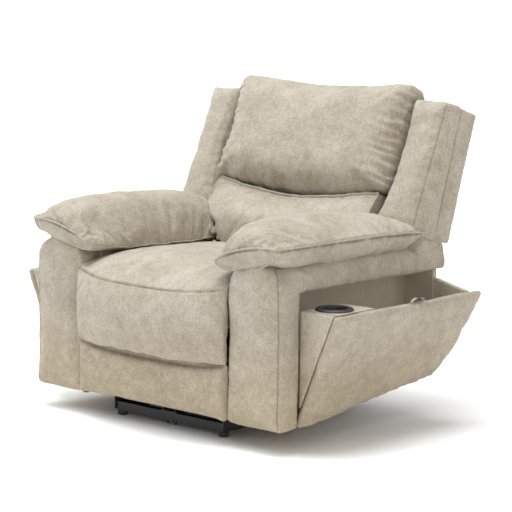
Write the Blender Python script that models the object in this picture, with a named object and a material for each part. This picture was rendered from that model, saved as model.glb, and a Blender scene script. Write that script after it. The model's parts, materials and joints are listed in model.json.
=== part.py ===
"""Power recliner armchair with two tilt-out storage bins, one solid object for each real piece.

Metres, +Z up, X across the chair, the sitter faces -Y. The origin is on the floor, in the
middle of the outline seen from above. The chair is upright with both arm bins open.
Depths are counted from the front face of the arms towards the back.
"""
from math import atan2, cos, hypot, pi, radians, sin, tan

import bmesh
import bpy
from mathutils import Matrix

# ---- driving sizes -------------------------------------------------------------------
GAP = 0.0003                 # clearance between pieces that rest on each other

CHAIR_WIDTH = 1.060          # over both arms, bins closed
SEAT_GAP = 0.636             # clear width between the arms
ARM_DEPTH = 0.785
SKIRT_Z = 0.077              # lower edge of the upholstery at the front
REAR_SWEEP = 0.085           # how far that edge has risen near the back of the arms
RECESS_TOP_Z = 0.480
ARM_TOP_Z = 0.5315           # under the arm pillow
ROLL_TOP_Z = 0.570           # top of the outer roll
BUMPER_DEPTH = 0.085         # padded front block of the arm
ARM_WALL = 0.055             # inner wall of the arm

BIN_OPEN = radians(23.4)     # how far each bin stands open
BIN_PANEL = 0.022            # thickness of the upholstered bin front
BIN_BOARD = 0.010
BIN_HEIGHT = 0.380           # bin front, bottom edge to top edge
HINGE_Z = 0.088
HINGE_PIN = 0.0042           # radius

CUP_SIDE = 0.00405083556     # between the cup holder's flange and the bin's inner wall
CUP_RIM = 0.013              # width of its flange outside its mouth
CUP_TAPER = 0.014            # how much its radius falls from mouth to foot
CUP_WALL = 0.003
CUP_DEPTH = 0.075
CUP_LIP = 0.007

SEAT_FRAME_Z = (0.350, 0.392)
SEAT_FRAME_DEPTH = (0.045, ARM_DEPTH - 0.165)
SEAT_RAIL = 0.035
SEAT_CROWN_Z = 0.525

FOOT_AXIS = (0.0, 0.468)     # depth and height of the leg-rest hinge line
PAD_CROWN = 0.065            # how far the front pad stands ahead of the arms
PAD_SPLIT_Z = 0.252          # between the two front pads
PAD_REAR = 0.010             # depth of the pads' rear face, against the board
BOARD = 0.016

BACK_AXIS = (ARM_DEPTH - 0.085, 0.360)   # depth and height of the recline hinge line
BACK_REF = (ARM_DEPTH - 0.103, 0.520)    # a point on the front of the back frame
BACK_LEAN = radians(19.0)
BACK_TOP = 0.505             # height of the back along its lean, from BACK_REF
WING_FOOT = 0.095            # lower end of the wings along the lean
SHELL_HALF = CHAIR_WIDTH / 2 - 0.020
SHELL_T = 0.122              # outer back face behind the frame's front
SHELL_WALL = 0.018
HEAD_HALF = CHAIR_WIDTH / 2 - 0.166
WING = (HEAD_HALF + 0.0145, CHAIR_WIDTH / 2 - 0.009)   # inner and outer faces of a wing
FRAME_T = 0.040

TUBE = 0.028                 # square steel tube of the base
TUBE_Z = 0.016
BASE_HALF = SEAT_GAP / 2 - 0.083
BASE_DEPTH = (0.076, ARM_DEPTH - 0.105)
PLATE = 0.004                # steel plate of the mechanism
PLANE = 0.0008               # clearance between two plates that pass each other
DRIVE_AXIS = (0.240, 0.335)
LUG_PIN = (0.050, 0.275)     # where the front links meet the leg-rest board
CRANK = 0.100
DRIVE_SWING = radians(85.0)  # turn of the drive tube that raises the leg rest
DRIVE_TUBE = 0.0125          # radius
PIN = 0.005
MOTOR_PIN = (0.090, 0.085)
RAIL_SLOPE = radians(18.0)

# ---- values that follow ---------------------------------------------------------------
OUTER = CHAIR_WIDTH / 2
INNER = SEAT_GAP / 2
REAR_MOST = BACK_REF[0] + (BACK_TOP + GAP) * sin(BACK_LEAN) + SHELL_T * cos(BACK_LEAN)
ARM_FRONT_Y = (PAD_CROWN - REAR_MOST) / 2
RECESS_X = INNER + ARM_WALL
ROLL_X = OUTER - 0.070        # between the arm pillow and the outer roll
HINGE_X = OUTER - BIN_PANEL - GAP - HINGE_PIN
BIN_REAR = ARM_DEPTH + 0.012
BIN_INNER_X = HINGE_X + 0.0215
PLATE_X = BASE_HALF + GAP


def y_at(depth):
    return ARM_FRONT_Y + depth


# ---- clearing, materials and basic solids ----------------------------------------------
for old in list(bpy.data.objects):
    bpy.data.objects.remove(old)

FABRIC = ((0.60, 0.54, 0.46), 0.85, 0.0)
LINING = ((0.52, 0.46, 0.39), 0.88, 0.0)
STEEL = ((0.035, 0.035, 0.038), 0.45, 0.8)
ZINC = ((0.55, 0.55, 0.54), 0.40, 0.9)
PLASTIC = ((0.018, 0.018, 0.019), 0.50, 0.0)
TIMBER = ((0.62, 0.46, 0.28), 0.70, 0.0)


def finish(obj, look):
    colour, roughness, metallic = look
    material = bpy.data.materials.new(obj.name + "_finish")
    material.use_nodes = True
    shader = material.node_tree.nodes["Principled BSDF"]
    shader.inputs["Base Color"].default_value = (*colour, 1.0)
    shader.inputs["Roughness"].default_value = roughness
    shader.inputs["Metallic"].default_value = metallic
    obj.data.materials.append(material)
    return obj


def loft(name, rings, look):
    """A closed solid through rings of points, with its two ends capped."""
    shape = bmesh.new()
    loops = [[shape.verts.new(point) for point in ring] for ring in rings]
    count = len(rings[0])
    for low, high in zip(loops, loops[1:]):
        for i in range(count):
            j = (i + 1) % count
            shape.faces.new((low[i], low[j], high[j], high[i]))
    shape.faces.new(loops[0])
    shape.faces.new(loops[-1])
    bmesh.ops.recalc_face_normals(shape, faces=shape.faces)
    mesh = bpy.data.meshes.new(name)
    shape.to_mesh(mesh)
    shape.free()
    obj = bpy.data.objects.new(name, mesh)
    bpy.context.scene.collection.objects.link(obj)
    return finish(obj, look)


def along_x(name, outline, x, look=FABRIC, side=1):
    """An outline in depth and height, carried from x[0] to x[1]."""
    return loft(name, [[(side * at, y_at(d), z) for d, z in outline] for at in x], look)


def along_y(name, outline, depth, look=FABRIC, side=1):
    """An outline in x and height, carried between two depths."""
    return loft(name, [[(side * x, y_at(d), z) for x, z in outline] for d in depth], look)


def rectangle(a, b):
    return [(a[0], b[0]), (a[1], b[0]), (a[1], b[1]), (a[0], b[1])]


def block(name, x, depth, z, look=FABRIC, side=1):
    return along_x(name, rectangle(depth, z), x, look, side)


def disc(centre, radius, sides=20, start=0.0):
    step = 2 * pi / sides
    return [(centre[0] + radius * cos(start + i * step), centre[1] + radius * sin(start + i * step))
            for i in range(sides)]


def capsule(a, b, radius, sides=6):
    """Outline of a bar with round ends, from a to b."""
    turn = atan2(b[1] - a[1], b[0] - a[0])
    step = pi / sides
    far = [(b[0] + radius * cos(turn - pi / 2 + i * step), b[1] + radius * sin(turn - pi / 2 + i * step))
           for i in range(sides + 1)]
    near = [(a[0] + radius * cos(turn + pi / 2 + i * step), a[1] + radius * sin(turn + pi / 2 + i * step))
            for i in range(sides + 1)]
    return far + near


def rod(name, centre, radius, x, look=STEEL, side=1, sides=20):
    """A round bar along X at a depth and height."""
    return along_x(name, disc(centre, radius, sides), x, look, side)


def soften(obj, width, segments=2):
    bevel = obj.modifiers.new("rounded edges", "BEVEL")
    bevel.width = width
    bevel.segments = segments
    bevel.limit_method = "ANGLE"
    bevel.angle_limit = radians(35)
    return obj


def combine(obj, tool, operation):
    change = obj.modifiers.new(operation.lower(), "BOOLEAN")
    change.operation = operation
    change.object = tool
    change.solver = "EXACT"
    tool.hide_render = True
    tool.display_type = "WIRE"
    return obj


def weld(obj, tool):
    return combine(obj, tool, "UNION")


def cut(obj, tool):
    return combine(obj, tool, "DIFFERENCE")


def axis_empty(name, x, depth, z):
    empty = bpy.data.objects.new(name, None)
    bpy.context.scene.collection.objects.link(empty)
    empty.location = (x, y_at(depth), z)
    return empty


def carried_by(empty, *pieces):
    """Parent pieces to the empty on their joint's axis without moving them."""
    for piece in pieces:
        piece.parent = empty
        piece.matrix_parent_inverse = Matrix.Translation(empty.location).inverted()


def label(side):
    return "right" if side > 0 else "left"


# ---- steel base ------------------------------------------------------------------------
BOLT_X = 0.018
BOLT = 0.004


def make_base():
    z = (TUBE_Z, TUBE_Z + TUBE)
    front = (BASE_DEPTH[0], BASE_DEPTH[0] + TUBE)
    rear = (BASE_DEPTH[1] - TUBE, BASE_DEPTH[1])
    frame = block("base_frame", (-BASE_HALF, BASE_HALF), front, z, STEEL)
    weld(frame, block("base_rear_tool", (-BASE_HALF, BASE_HALF), rear, z, STEEL))
    for side in (-1, 1):
        rails = (BASE_HALF - TUBE, BASE_HALF)
        overlap = (front[0] + TUBE / 2, rear[1] - TUBE / 2)
        inset = (TUBE_Z + 0.0005, TUBE_Z + TUBE - 0.0005)
        weld(frame, block(f"base_rail_tool_{label(side)}", rails, overlap, inset, STEEL, side))
        cut(frame, upright(f"bolt_hole_tool_{label(side)}", side * BOLT_X, MOTOR_PIN[0], BOLT + GAP, (0, 0.1)))
        for name, depth in (("front", sum(front) / 2), ("rear", sum(rear) / 2)):
            foot = upright(f"base_foot_{name}_{label(side)}", side * (BASE_HALF - TUBE / 2), depth,
                           0.016, (0, TUBE_Z - GAP), PLASTIC)
            soften(foot, 0.003)
    return frame


def upright(name, x, depth, radius, z, look=STEEL, sides=20):
    """A round post standing between two heights."""
    return loft(name, [[(px, y_at(depth) + py, h) for px, py in disc((x, 0), radius, sides)] for h in z], look)


def make_motor_bracket():
    top = TUBE_Z + TUBE + GAP
    saddle = block("motor_bracket", (-0.034, 0.034), (MOTOR_PIN[0] - 0.016, MOTOR_PIN[0] + 0.016),
                   (top, top + PLATE), STEEL)
    for side in (-1, 1):
        ear = capsule((MOTOR_PIN[0], top + 0.001), MOTOR_PIN, 0.012)
        ear = [(d, max(z, top + 0.001)) for d, z in ear]
        weld(saddle, along_x(f"motor_ear_tool_{label(side)}", ear, (0.024, 0.028), STEEL, side))
        weld(saddle, upright(f"motor_bolt_tool_{label(side)}", side * BOLT_X, MOTOR_PIN[0], BOLT,
                             (0.005, top + 0.010), STEEL, 12))
    cut(saddle, rod("motor_ear_hole_tool", MOTOR_PIN, PIN + GAP, (-0.04, 0.04)))
    return saddle


def make_side_plates():
    """Pressed side plates of the mechanism, bolted to the base rails."""
    top = SEAT_FRAME_Z[0] - GAP
    rear, radius = BACK_AXIS[0], 0.022
    eye = capsule((rear, top - 0.02), BACK_AXIS, radius)
    outline = [(0.070, 0.020), (rear - 0.035, 0.020), (rear, 0.200), (rear + radius, top - 0.02)]
    outline += [p for p in eye if p[1] > top]
    outline += [(rear - radius, top), (0.070, top)]
    for side in (-1, 1):
        plate = along_x(f"side_plate_{label(side)}", outline, (PLATE_X, PLATE_X + PLATE), STEEL, side)
        for name, centre in (("drive", DRIVE_AXIS), ("back", BACK_AXIS)):
            hole = rod(f"{name}_hole_tool_{label(side)}", centre, PIN + GAP,
                       (PLATE_X - 0.01, PLATE_X + 0.02), STEEL, side)
            cut(plate, hole)


# ---- seat ------------------------------------------------------------------------------
def serpentine(half_width, start, end, turns, band):
    """Outline of a zigzag spring running from start to end."""
    pitch = (end - start) / (2 * turns + 1)
    slots = [start + pitch * (i + 0.72) for i in range(2 * turns)]
    slot = pitch - band
    left, right = [], []
    for i, at in enumerate(slots):
        if i % 2:
            left += [(-half_width, at), (half_width - band, at), (half_width - band, at + slot), (-half_width, at + slot)]
        else:
            right += [(half_width, at), (band - half_width, at), (band - half_width, at + slot), (half_width, at + slot)]
    return [(-half_width, start), (half_width, start)] + right + [(half_width, end), (-half_width, end)] + left[::-1]


def make_springs(name, centres, half_width, span, turns, z, place):
    """Zigzag springs side by side, clipped together by two cross wires."""
    band = 0.004
    outline = serpentine(half_width, span[0], span[1], turns, band)
    springs = None
    for i, centre in enumerate(centres):
        rings = [[place(x + centre, along, h) for x, along in outline] for h in z]
        spring = loft(name if springs is None else f"{name}_tool_{i}", rings, ZINC)
        springs = spring if springs is None else weld(springs, spring)
    reach = centres[-1] + half_width
    for i, share in enumerate((0.35, 0.65)):
        at = span[0] + share * (span[1] - span[0])
        bar = rectangle((-reach, reach), (at - 0.002, at + 0.002))
        rings = [[place(x, along, h) for x, along in bar] for h in (z[0] + 0.001, z[1] + 0.002)]
        weld(springs, loft(f"{name}_wire_tool_{i}", rings, ZINC))
    return springs


def make_seat():
    half = INNER - 2 * GAP
    frame = block("seat_frame", (-half, half), SEAT_FRAME_DEPTH, SEAT_FRAME_Z, TIMBER)
    bay = (SEAT_FRAME_DEPTH[0] + SEAT_RAIL, SEAT_FRAME_DEPTH[1] - SEAT_RAIL)
    cut(frame, block("seat_bay_tool", (SEAT_RAIL - half, half - SEAT_RAIL), bay,
                     (SEAT_FRAME_Z[0] - 0.05, SEAT_FRAME_Z[1] + 0.05), TIMBER))
    spring_z = (SEAT_FRAME_Z[1] - 0.016, SEAT_FRAME_Z[1] - 0.013)
    make_springs("seat_springs", (-0.18, -0.06, 0.06, 0.18), 0.025, (bay[0] + GAP, bay[1] - GAP), 5,
                 spring_z, lambda x, along, h: (x, y_at(along), h))
    top = SEAT_FRAME_Z[1] + GAP
    lip = FOOT_AXIS[1] + 0.008
    board_rear = PAD_REAR + BOARD + 0.005
    end = SEAT_FRAME_DEPTH[1] - 0.020
    outline = [(end, top), (board_rear, top), (board_rear, lip - 0.012), (0.001, lip), (0.004, 0.484), (0.030, 0.498),
               (0.110, 0.514), (0.280, SEAT_CROWN_Z), (end - 0.140, 0.514), (end, 0.503)]
    cushion = along_x("seat_cushion", outline, (-INNER + 0.006, INNER - 0.006))
    soften(cushion, 0.010, 2)


def make_rear_panel():
    """Fixed lower back panel between the arms."""
    half = INNER - 2 * GAP
    face = ARM_DEPTH - 0.001
    panel = block("rear_panel", (-half, half), (face - 0.016, face), (0.110, 0.335))
    soften(panel, 0.004)
    x, z = 0.135, 0.160
    inlet = block("power_inlet", (x - 0.015, x + 0.015), (face + GAP, face + 0.012), (z - 0.010, z + 0.010), PLASTIC)
    socket = [[(px, y_at(d), pz) for px, pz in disc((x, z), 0.0045, 16)] for d in (face + 0.004, face + 0.02)]
    cut(inlet, loft("inlet_socket_tool", socket, PLASTIC))


# ---- arms ------------------------------------------------------------------------------
def skirt(depth):
    """Height of the arm's lower edge: level at the front, sweeping up towards the back."""
    share = min(max((depth - SWEEP[0]) / (SWEEP[1] - SWEEP[0]), 0.0), 1.0)
    return SKIRT_Z + REAR_SWEEP * share ** 1.25


SWEEP = (0.16, ARM_DEPTH - 0.065)
SWEEP_DEPTHS = [SWEEP[0] + share * (SWEEP[1] - SWEEP[0]) for share in (0.0, 0.20, 0.39, 0.59, 0.79, 0.96)]
HUMP = ARM_DEPTH - 0.125     # where the arm top rises behind the pillow
REAR_EDGE = ((ARM_DEPTH - 0.045, 0.580), (ARM_DEPTH - 0.013, 0.560), (ARM_DEPTH, 0.540))   # rounded top rear corner


def make_arm_shell(side):
    """Timber arm carcass: inner wall, rear panel, roof over the bin bay, and bottom rail."""
    front = BUMPER_DEPTH + GAP
    lower = [(front, SKIRT_Z)] + [(d, skirt(d)) for d in SWEEP_DEPTHS]
    rear = [(ARM_DEPTH - 0.037, 0.215), (ARM_DEPTH, 0.330)]
    wall = lower + rear + [(ARM_DEPTH, ARM_TOP_Z), (front, ARM_TOP_Z)]
    shell = along_x(f"arm_shell_{label(side)}", wall, (INNER, RECESS_X), FABRIC, side)
    inset = 0.0004
    post = (ARM_DEPTH - 0.020, ARM_DEPTH - inset)
    back = [(post[0], 0.262), (post[1], 0.345), (post[1], RECESS_TOP_Z - GAP), (post[0], RECESS_TOP_Z - GAP)]
    weld(shell, along_x(f"arm_back_tool_{label(side)}", back, (RECESS_X - 0.01, HINGE_X - 0.002), FABRIC, side))
    roof = (front + inset, ARM_DEPTH - 2 * inset)
    weld(shell, block(f"arm_roof_tool_{label(side)}", (RECESS_X - 0.01, ROLL_X - GAP), roof,
                      (RECESS_TOP_Z, ARM_TOP_Z - inset), FABRIC, side))
    hump = [(HUMP, ARM_TOP_Z - 0.01), (HUMP + 0.008, 0.593), (HUMP + 0.040, 0.597), *REAR_EDGE[:2],
            (ARM_DEPTH - 3 * inset, 0.540), (ARM_DEPTH - 3 * inset, ARM_TOP_Z - 0.01)]
    weld(shell, along_x(f"arm_hump_tool_{label(side)}", hump, (INNER + inset, ROLL_X - 2 * GAP), FABRIC, side))
    sill = [(HINGE_X - HINGE_PIN - GAP, SKIRT_Z + inset), (HINGE_X - HINGE_PIN - GAP, HINGE_Z + 0.004),
            (RECESS_X - 0.01, HINGE_Z + 0.004), (RECESS_X - 0.01, SKIRT_Z + inset)]
    weld(shell, along_y(f"arm_sill_tool_{label(side)}", sill, (front + inset, 0.300), FABRIC, side))
    return shell


def make_arm(side):
    make_arm_shell(side)
    shoulder = 0.045
    round_off = [(OUTER - shoulder + shoulder * cos(a), ROLL_TOP_Z - shoulder + shoulder * sin(a))
                 for a in (i * pi / 12 for i in range(7))]
    face = [(INNER, SKIRT_Z), (OUTER, SKIRT_Z)] + round_off
    face += [(ROLL_X, ROLL_TOP_Z), (ROLL_X - GAP, ARM_TOP_Z), (INNER, ARM_TOP_Z)]
    bumper = along_y(f"arm_front_{label(side)}", face, (0.0, BUMPER_DEPTH), FABRIC, side)
    soften(bumper, 0.008)

    start = BUMPER_DEPTH + GAP
    roll = [(start, RECESS_TOP_Z), (ARM_DEPTH, RECESS_TOP_Z), *REAR_EDGE[::-1],
            (HUMP + 0.040, 0.597), (HUMP + 0.008, 0.593), (HUMP, ROLL_TOP_Z), (start, ROLL_TOP_Z)]
    soften(along_x(f"arm_roll_{label(side)}", roll, (ROLL_X, OUTER), FABRIC, side), 0.012)

    glide = upright(f"arm_glide_{label(side)}", side * 0.337, 0.040, 0.011, (SKIRT_Z - 0.014, SKIRT_Z - GAP), PLASTIC)
    soften(glide, 0.003)
    make_pillow(side)


def make_pillow(side):
    """Stuffed arm pillow, one seam all round, hanging over the arm's inner face."""
    low = ARM_TOP_Z + GAP
    step = ROLL_TOP_Z + GAP

    def section(rise, inner, outer):
        seam_in, seam_out = 0.562, 0.618
        return [(inner + 0.008, low + 0.016), (INNER + 0.004, low), (ROLL_X - 2 * GAP, low),
                (ROLL_X - 2 * GAP, step), (outer - 0.022, step), (outer, seam_out),
                (outer - 0.045, seam_out + 0.45 * rise), (INNER + 0.087, seam_out + 0.85 * rise),
                (INNER + 0.012, seam_in + 1.2 * rise), (inner + 0.012, seam_in + 0.45 * rise), (inner, seam_in)]

    stations = ((-0.022, 0.004, 0.033, -0.010), (0.010, 0.045, 0.056, 0.015), (0.110, 0.068, 0.064, 0.020),
                (ARM_DEPTH - 0.405, 0.066, 0.062, 0.020), (ARM_DEPTH - 0.225, 0.040, 0.052, 0.015),
                (HUMP - 0.005, 0.004, 0.018, 0.0))
    rings = [[(side * x, y_at(depth), z) for x, z in section(rise, INNER - inward, OUTER + outward)]
             for depth, rise, inward, outward in stations]
    soften(loft(f"arm_pillow_{label(side)}", rings, FABRIC), 0.010)


# ---- storage bins ----------------------------------------------------------------------
def panel_inside(height):
    """X of the open bin front's inner face, at a height above the hinge line."""
    across = (HINGE_PIN + GAP) / cos(BIN_OPEN)
    return HINGE_X + across + height * tan(BIN_OPEN)


def make_bin_front(side):
    """Upholstered bin front, made closed about its hinge and then swung open."""
    bottom = -0.006
    lower = [(BUMPER_DEPTH + 0.003, bottom)]
    lower += [(d, bottom + skirt(d) - SKIRT_Z) for d in SWEEP_DEPTHS]
    corner = [(ARM_DEPTH - 0.057, 0.104), (ARM_DEPTH - 0.037, 0.135), (ARM_DEPTH - 0.025, 0.180)]
    outline = lower + corner + [(BIN_REAR, bottom + BIN_HEIGHT), (BUMPER_DEPTH + 0.003, bottom + BIN_HEIGHT)]
    near = HINGE_PIN + GAP
    rings = [[(side * x, y_at(d), h) for d, h in outline] for x in (near, near + BIN_PANEL)]
    front = loft(f"bin_front_{label(side)}", rings, FABRIC)
    front.location = (side * HINGE_X, 0, HINGE_Z)
    front.rotation_euler = (0, side * BIN_OPEN, 0)
    soften(front, 0.005)

    top = bottom + BIN_HEIGHT
    strap = rectangle((0.440, 0.500), (top + GAP, top + 0.014))
    pull = loft(f"bin_pull_{label(side)}", [[(side * x, y_at(d), h) for d, h in strap]
                                            for x in (near + 0.006, near + 0.012)], FABRIC)
    pull.location = front.location
    pull.rotation_euler = front.rotation_euler
    return front, pull


def make_bin_tray(side):
    """The bin behind the front: two wedge ends, an inner wall and a floor in one box."""
    wedge_top = 0.339
    inner = BIN_INNER_X
    foot = (inner - panel_inside(0)) / tan(BIN_OPEN) + 0.004

    def wedge(low):
        points = [(inner, HINGE_Z + wedge_top), (inner, HINGE_Z + low)]
        if low > foot:
            points.append((panel_inside(low) - GAP, HINGE_Z + low))
        return points + [(panel_inside(wedge_top) - GAP, HINGE_Z + wedge_top)]

    front = (BUMPER_DEPTH + 0.0055, BUMPER_DEPTH + 0.0055 + 0.017)
    rear = (ARM_DEPTH - 0.052, ARM_DEPTH - 0.034)
    tray = along_y(f"bin_tray_{label(side)}", wedge(foot), front, FABRIC, side)
    weld(tray, along_y(f"bin_rear_tool_{label(side)}", wedge(0.165), rear, FABRIC, side))
    inset = 0.0004
    span = (front[0] + 0.008, rear[1] - 0.008)
    wall = (inner + inset, inner + BIN_BOARD)
    weld(tray, block(f"bin_wall_tool_{label(side)}", wall, span,
                     (HINGE_Z + 0.175, HINGE_Z + 0.250), FABRIC, side))
    floor = [(inner + 2 * inset, HINGE_Z + 0.172), (panel_inside(0.172) - 2 * GAP, HINGE_Z + 0.172),
             (panel_inside(0.182) - 2 * GAP, HINGE_Z + 0.182), (inner + 2 * inset, HINGE_Z + 0.182)]
    weld(tray, along_y(f"bin_floor_tool_{label(side)}", floor, span, FABRIC, side))
    return tray, front[1], rear[0], wedge_top


def make_bin(side):
    front, pull = make_bin_front(side)
    tray, shelf_start, shelf_limit, wedge_top = make_bin_tray(side)
    thick = 0.014
    shelf_end = shelf_start + 0.175
    edge = [(BIN_INNER_X, HINGE_Z + wedge_top), (BIN_INNER_X, HINGE_Z + wedge_top - thick),
            (panel_inside(wedge_top - thick) - GAP, HINGE_Z + wedge_top - thick),
            (panel_inside(wedge_top) - GAP, HINGE_Z + wedge_top)]
    shelf = along_y(f"bin_shelf_{label(side)}", edge, (shelf_start + GAP, shelf_end), LINING, side)
    cup_x = (BIN_INNER_X + panel_inside(wedge_top)) / 2 - 0.003
    cup_d = shelf_start + 0.067
    top = HINGE_Z + wedge_top
    flange = cup_x - BIN_INNER_X - CUP_SIDE
    cut(shelf, upright(f"cup_hole_tool_{label(side)}", side * cup_x, cup_d, flange - CUP_RIM + GAP,
                       (top - 0.05, top + 0.05), LINING, 28))
    cup = make_cup(side, cup_x, cup_d, top + GAP, flange)
    pin = along_y(f"bin_hinge_{label(side)}", disc((HINGE_X, HINGE_Z), HINGE_PIN - GAP, 14),
                  (BUMPER_DEPTH + 2 * GAP, 0.300), ZINC, side)
    axis = axis_empty(f"bin_axis_{label(side)}", side * HINGE_X, 0.4, HINGE_Z)
    carried_by(axis, front, pull, tray, shelf, cup)
    return pin


def make_cup(side, x, depth, z, flange):
    """Moulded cup holder: flange, tapered wall and floor, turned about its own axis."""
    mouth = flange - CUP_RIM
    foot = mouth - CUP_TAPER
    profile = [(flange, 0.0), (flange, 0.003), (flange - 0.006, CUP_LIP),
               (mouth - CUP_WALL, CUP_LIP), (mouth - CUP_WALL - 0.003, CUP_LIP - 0.004),
               (foot - CUP_WALL, CUP_WALL - CUP_DEPTH)]
    outside = [(foot, -CUP_DEPTH), (mouth, -0.016), (mouth, 0.0)]
    rings = [[(side * x + px, y_at(depth) + py, z + h) for px, py in disc((0, 0), radius, 28)]
             for radius, h in outside[::-1]]
    inner = [[(side * x + px, y_at(depth) + py, z + h) for px, py in disc((0, 0), radius, 28)]
             for radius, h in profile[::-1]]
    cup = turned(f"cup_holder_{label(side)}", rings, inner)
    return cup


def turned(name, outer, inner):
    """A cup from rings down its outside and rings up its inside and over the rim."""
    shape = bmesh.new()
    outside = [[shape.verts.new(p) for p in ring] for ring in outer]
    inside = [[shape.verts.new(p) for p in ring] for ring in inner]
    count = len(outer[0])

    def skin(low, high):
        for i in range(count):
            j = (i + 1) % count
            shape.faces.new((low[i], low[j], high[j], high[i]))

    for low, high in zip(outside, outside[1:]):
        skin(low, high)
    shape.faces.new(outside[-1])
    shape.faces.new(inside[0])
    for low, high in zip(inside, inside[1:]):
        skin(low, high)
    skin(inside[-1], outside[0])
    bmesh.ops.recalc_face_normals(shape, faces=shape.faces)
    mesh = bpy.data.meshes.new(name)
    shape.to_mesh(mesh)
    shape.free()
    obj = bpy.data.objects.new(name, mesh)
    bpy.context.scene.collection.objects.link(obj)
    return finish(obj, PLASTIC)


# ---- leg rest --------------------------------------------------------------------------
LUG_X = BASE_HALF - 0.0197
LINK_X = (LUG_X + PLATE + PLANE, LUG_X + 2 * PLATE + PLANE)
DRIVE_X = (LINK_X[1] + PLANE, LINK_X[1] + PLANE + PLATE)
# The links, the board and the chair make a parallelogram, so both links turn with the board.
KNEE = (DRIVE_AXIS[0] + LUG_PIN[0] - FOOT_AXIS[0], DRIVE_AXIS[1] + LUG_PIN[1] - FOOT_AXIS[1])


def make_leg_rest():
    """Board with two pads, hinged along its top edge at the front of the seat."""
    axis = axis_empty("leg_rest_axis", 0, *FOOT_AXIS)
    face = PAD_REAR
    board_d = (face + GAP, face + GAP + BOARD)
    board = block("leg_rest_board", (0.033 - INNER, INNER - 0.033), board_d, (0.095, FOOT_AXIS[1] - 0.012), TIMBER)
    for side in (-1, 1):
        lug = capsule((board_d[1] - 0.004, LUG_PIN[1]), LUG_PIN, 0.013)
        lug = [(max(d, board_d[1] - 0.004), z) for d, z in lug]
        weld(board, along_x(f"lug_tool_{label(side)}", lug, (LUG_X, LUG_X + PLATE), STEEL, side))
        weld(board, rod(f"lug_pin_tool_{label(side)}", LUG_PIN, PIN, (LUG_X + 0.001, LINK_X[1]), STEEL, side))
    half = INNER - 0.005
    top = FOOT_AXIS[1] - 0.0035
    upper = [(face, PAD_SPLIT_Z + 0.006), (-0.030, PAD_SPLIT_Z + 0.004), (-0.052, PAD_SPLIT_Z + 0.030),
             (-0.062, 0.340), (-PAD_CROWN, 0.395), (-0.060, 0.440), (-0.042, top), (-0.004, top),
             (-0.001, top - 0.022), (face, top - 0.028)]
    pad = soften(along_x("leg_rest_pad", upper, (-half, half)), 0.010)
    lower = rectangle((-0.012, face), (SKIRT_Z + 0.003, PAD_SPLIT_Z))
    apron = soften(along_x("leg_rest_apron", lower, (-half, half)), 0.005)
    carried_by(axis, board, pad, apron)


def make_drive():
    """Drive tube with its crank, and the two links that push the leg rest out on each side."""
    axis = axis_empty("drive_axis", 0, *DRIVE_AXIS)
    knee_axis = axis_empty("knee_axis", 0, *KNEE)
    tube = rod("drive_tube", DRIVE_AXIS, DRIVE_TUBE, (GAP - DRIVE_X[0], DRIVE_X[0] - GAP))
    lean = -pi / 2 + RAIL_SLOPE + DRIVE_SWING / 2
    tip = (DRIVE_AXIS[0] + CRANK * cos(lean), DRIVE_AXIS[1] + CRANK * sin(lean))
    for side in (-1, 1):
        weld(tube, along_x(f"crank_tool_{label(side)}", capsule(DRIVE_AXIS, tip, 0.011), (0.009, 0.013), STEEL, side))
    weld(tube, rod("crank_pin_tool", tip, PIN, (-0.012, 0.012)))
    carried_by(axis, tube)
    for side in (-1, 1):
        arm = along_x(f"drive_link_{label(side)}", capsule(DRIVE_AXIS, KNEE, 0.014), DRIVE_X, STEEL, side)
        weld(arm, rod(f"drive_stub_tool_{label(side)}", DRIVE_AXIS, PIN, (DRIVE_X[0] + 0.001, PLATE_X + PLATE), STEEL, side))
        weld(arm, rod(f"knee_stub_tool_{label(side)}", KNEE, PIN, (LINK_X[0], DRIVE_X[1] - 0.001), STEEL, side))
        carried_by(axis, arm)
        link = along_x(f"front_link_{label(side)}", capsule(KNEE, LUG_PIN, 0.013), LINK_X, STEEL, side)
        for name, centre in (("knee", KNEE), ("lug", LUG_PIN)):
            cut(link, rod(f"{name}_eye_tool_{label(side)}", centre, PIN + GAP, (LINK_X[0] - 0.01, LINK_X[1] + 0.01), STEEL, side))
        carried_by(knee_axis, link)
    return tip


def on_rail(along, above):
    """A point in depth and height, measured along and square to the motor's rail."""
    return (MOTOR_PIN[0] + along * cos(RAIL_SLOPE) - above * sin(RAIL_SLOPE),
            MOTOR_PIN[1] + along * sin(RAIL_SLOPE) + above * cos(RAIL_SLOPE))


def rail_box(name, x, along, above, look=PLASTIC):
    corners = [on_rail(along[0], above[0]), on_rail(along[1], above[0]), on_rail(along[1], above[1]), on_rail(along[0], above[1])]
    return along_x(name, corners, x, look)


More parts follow.
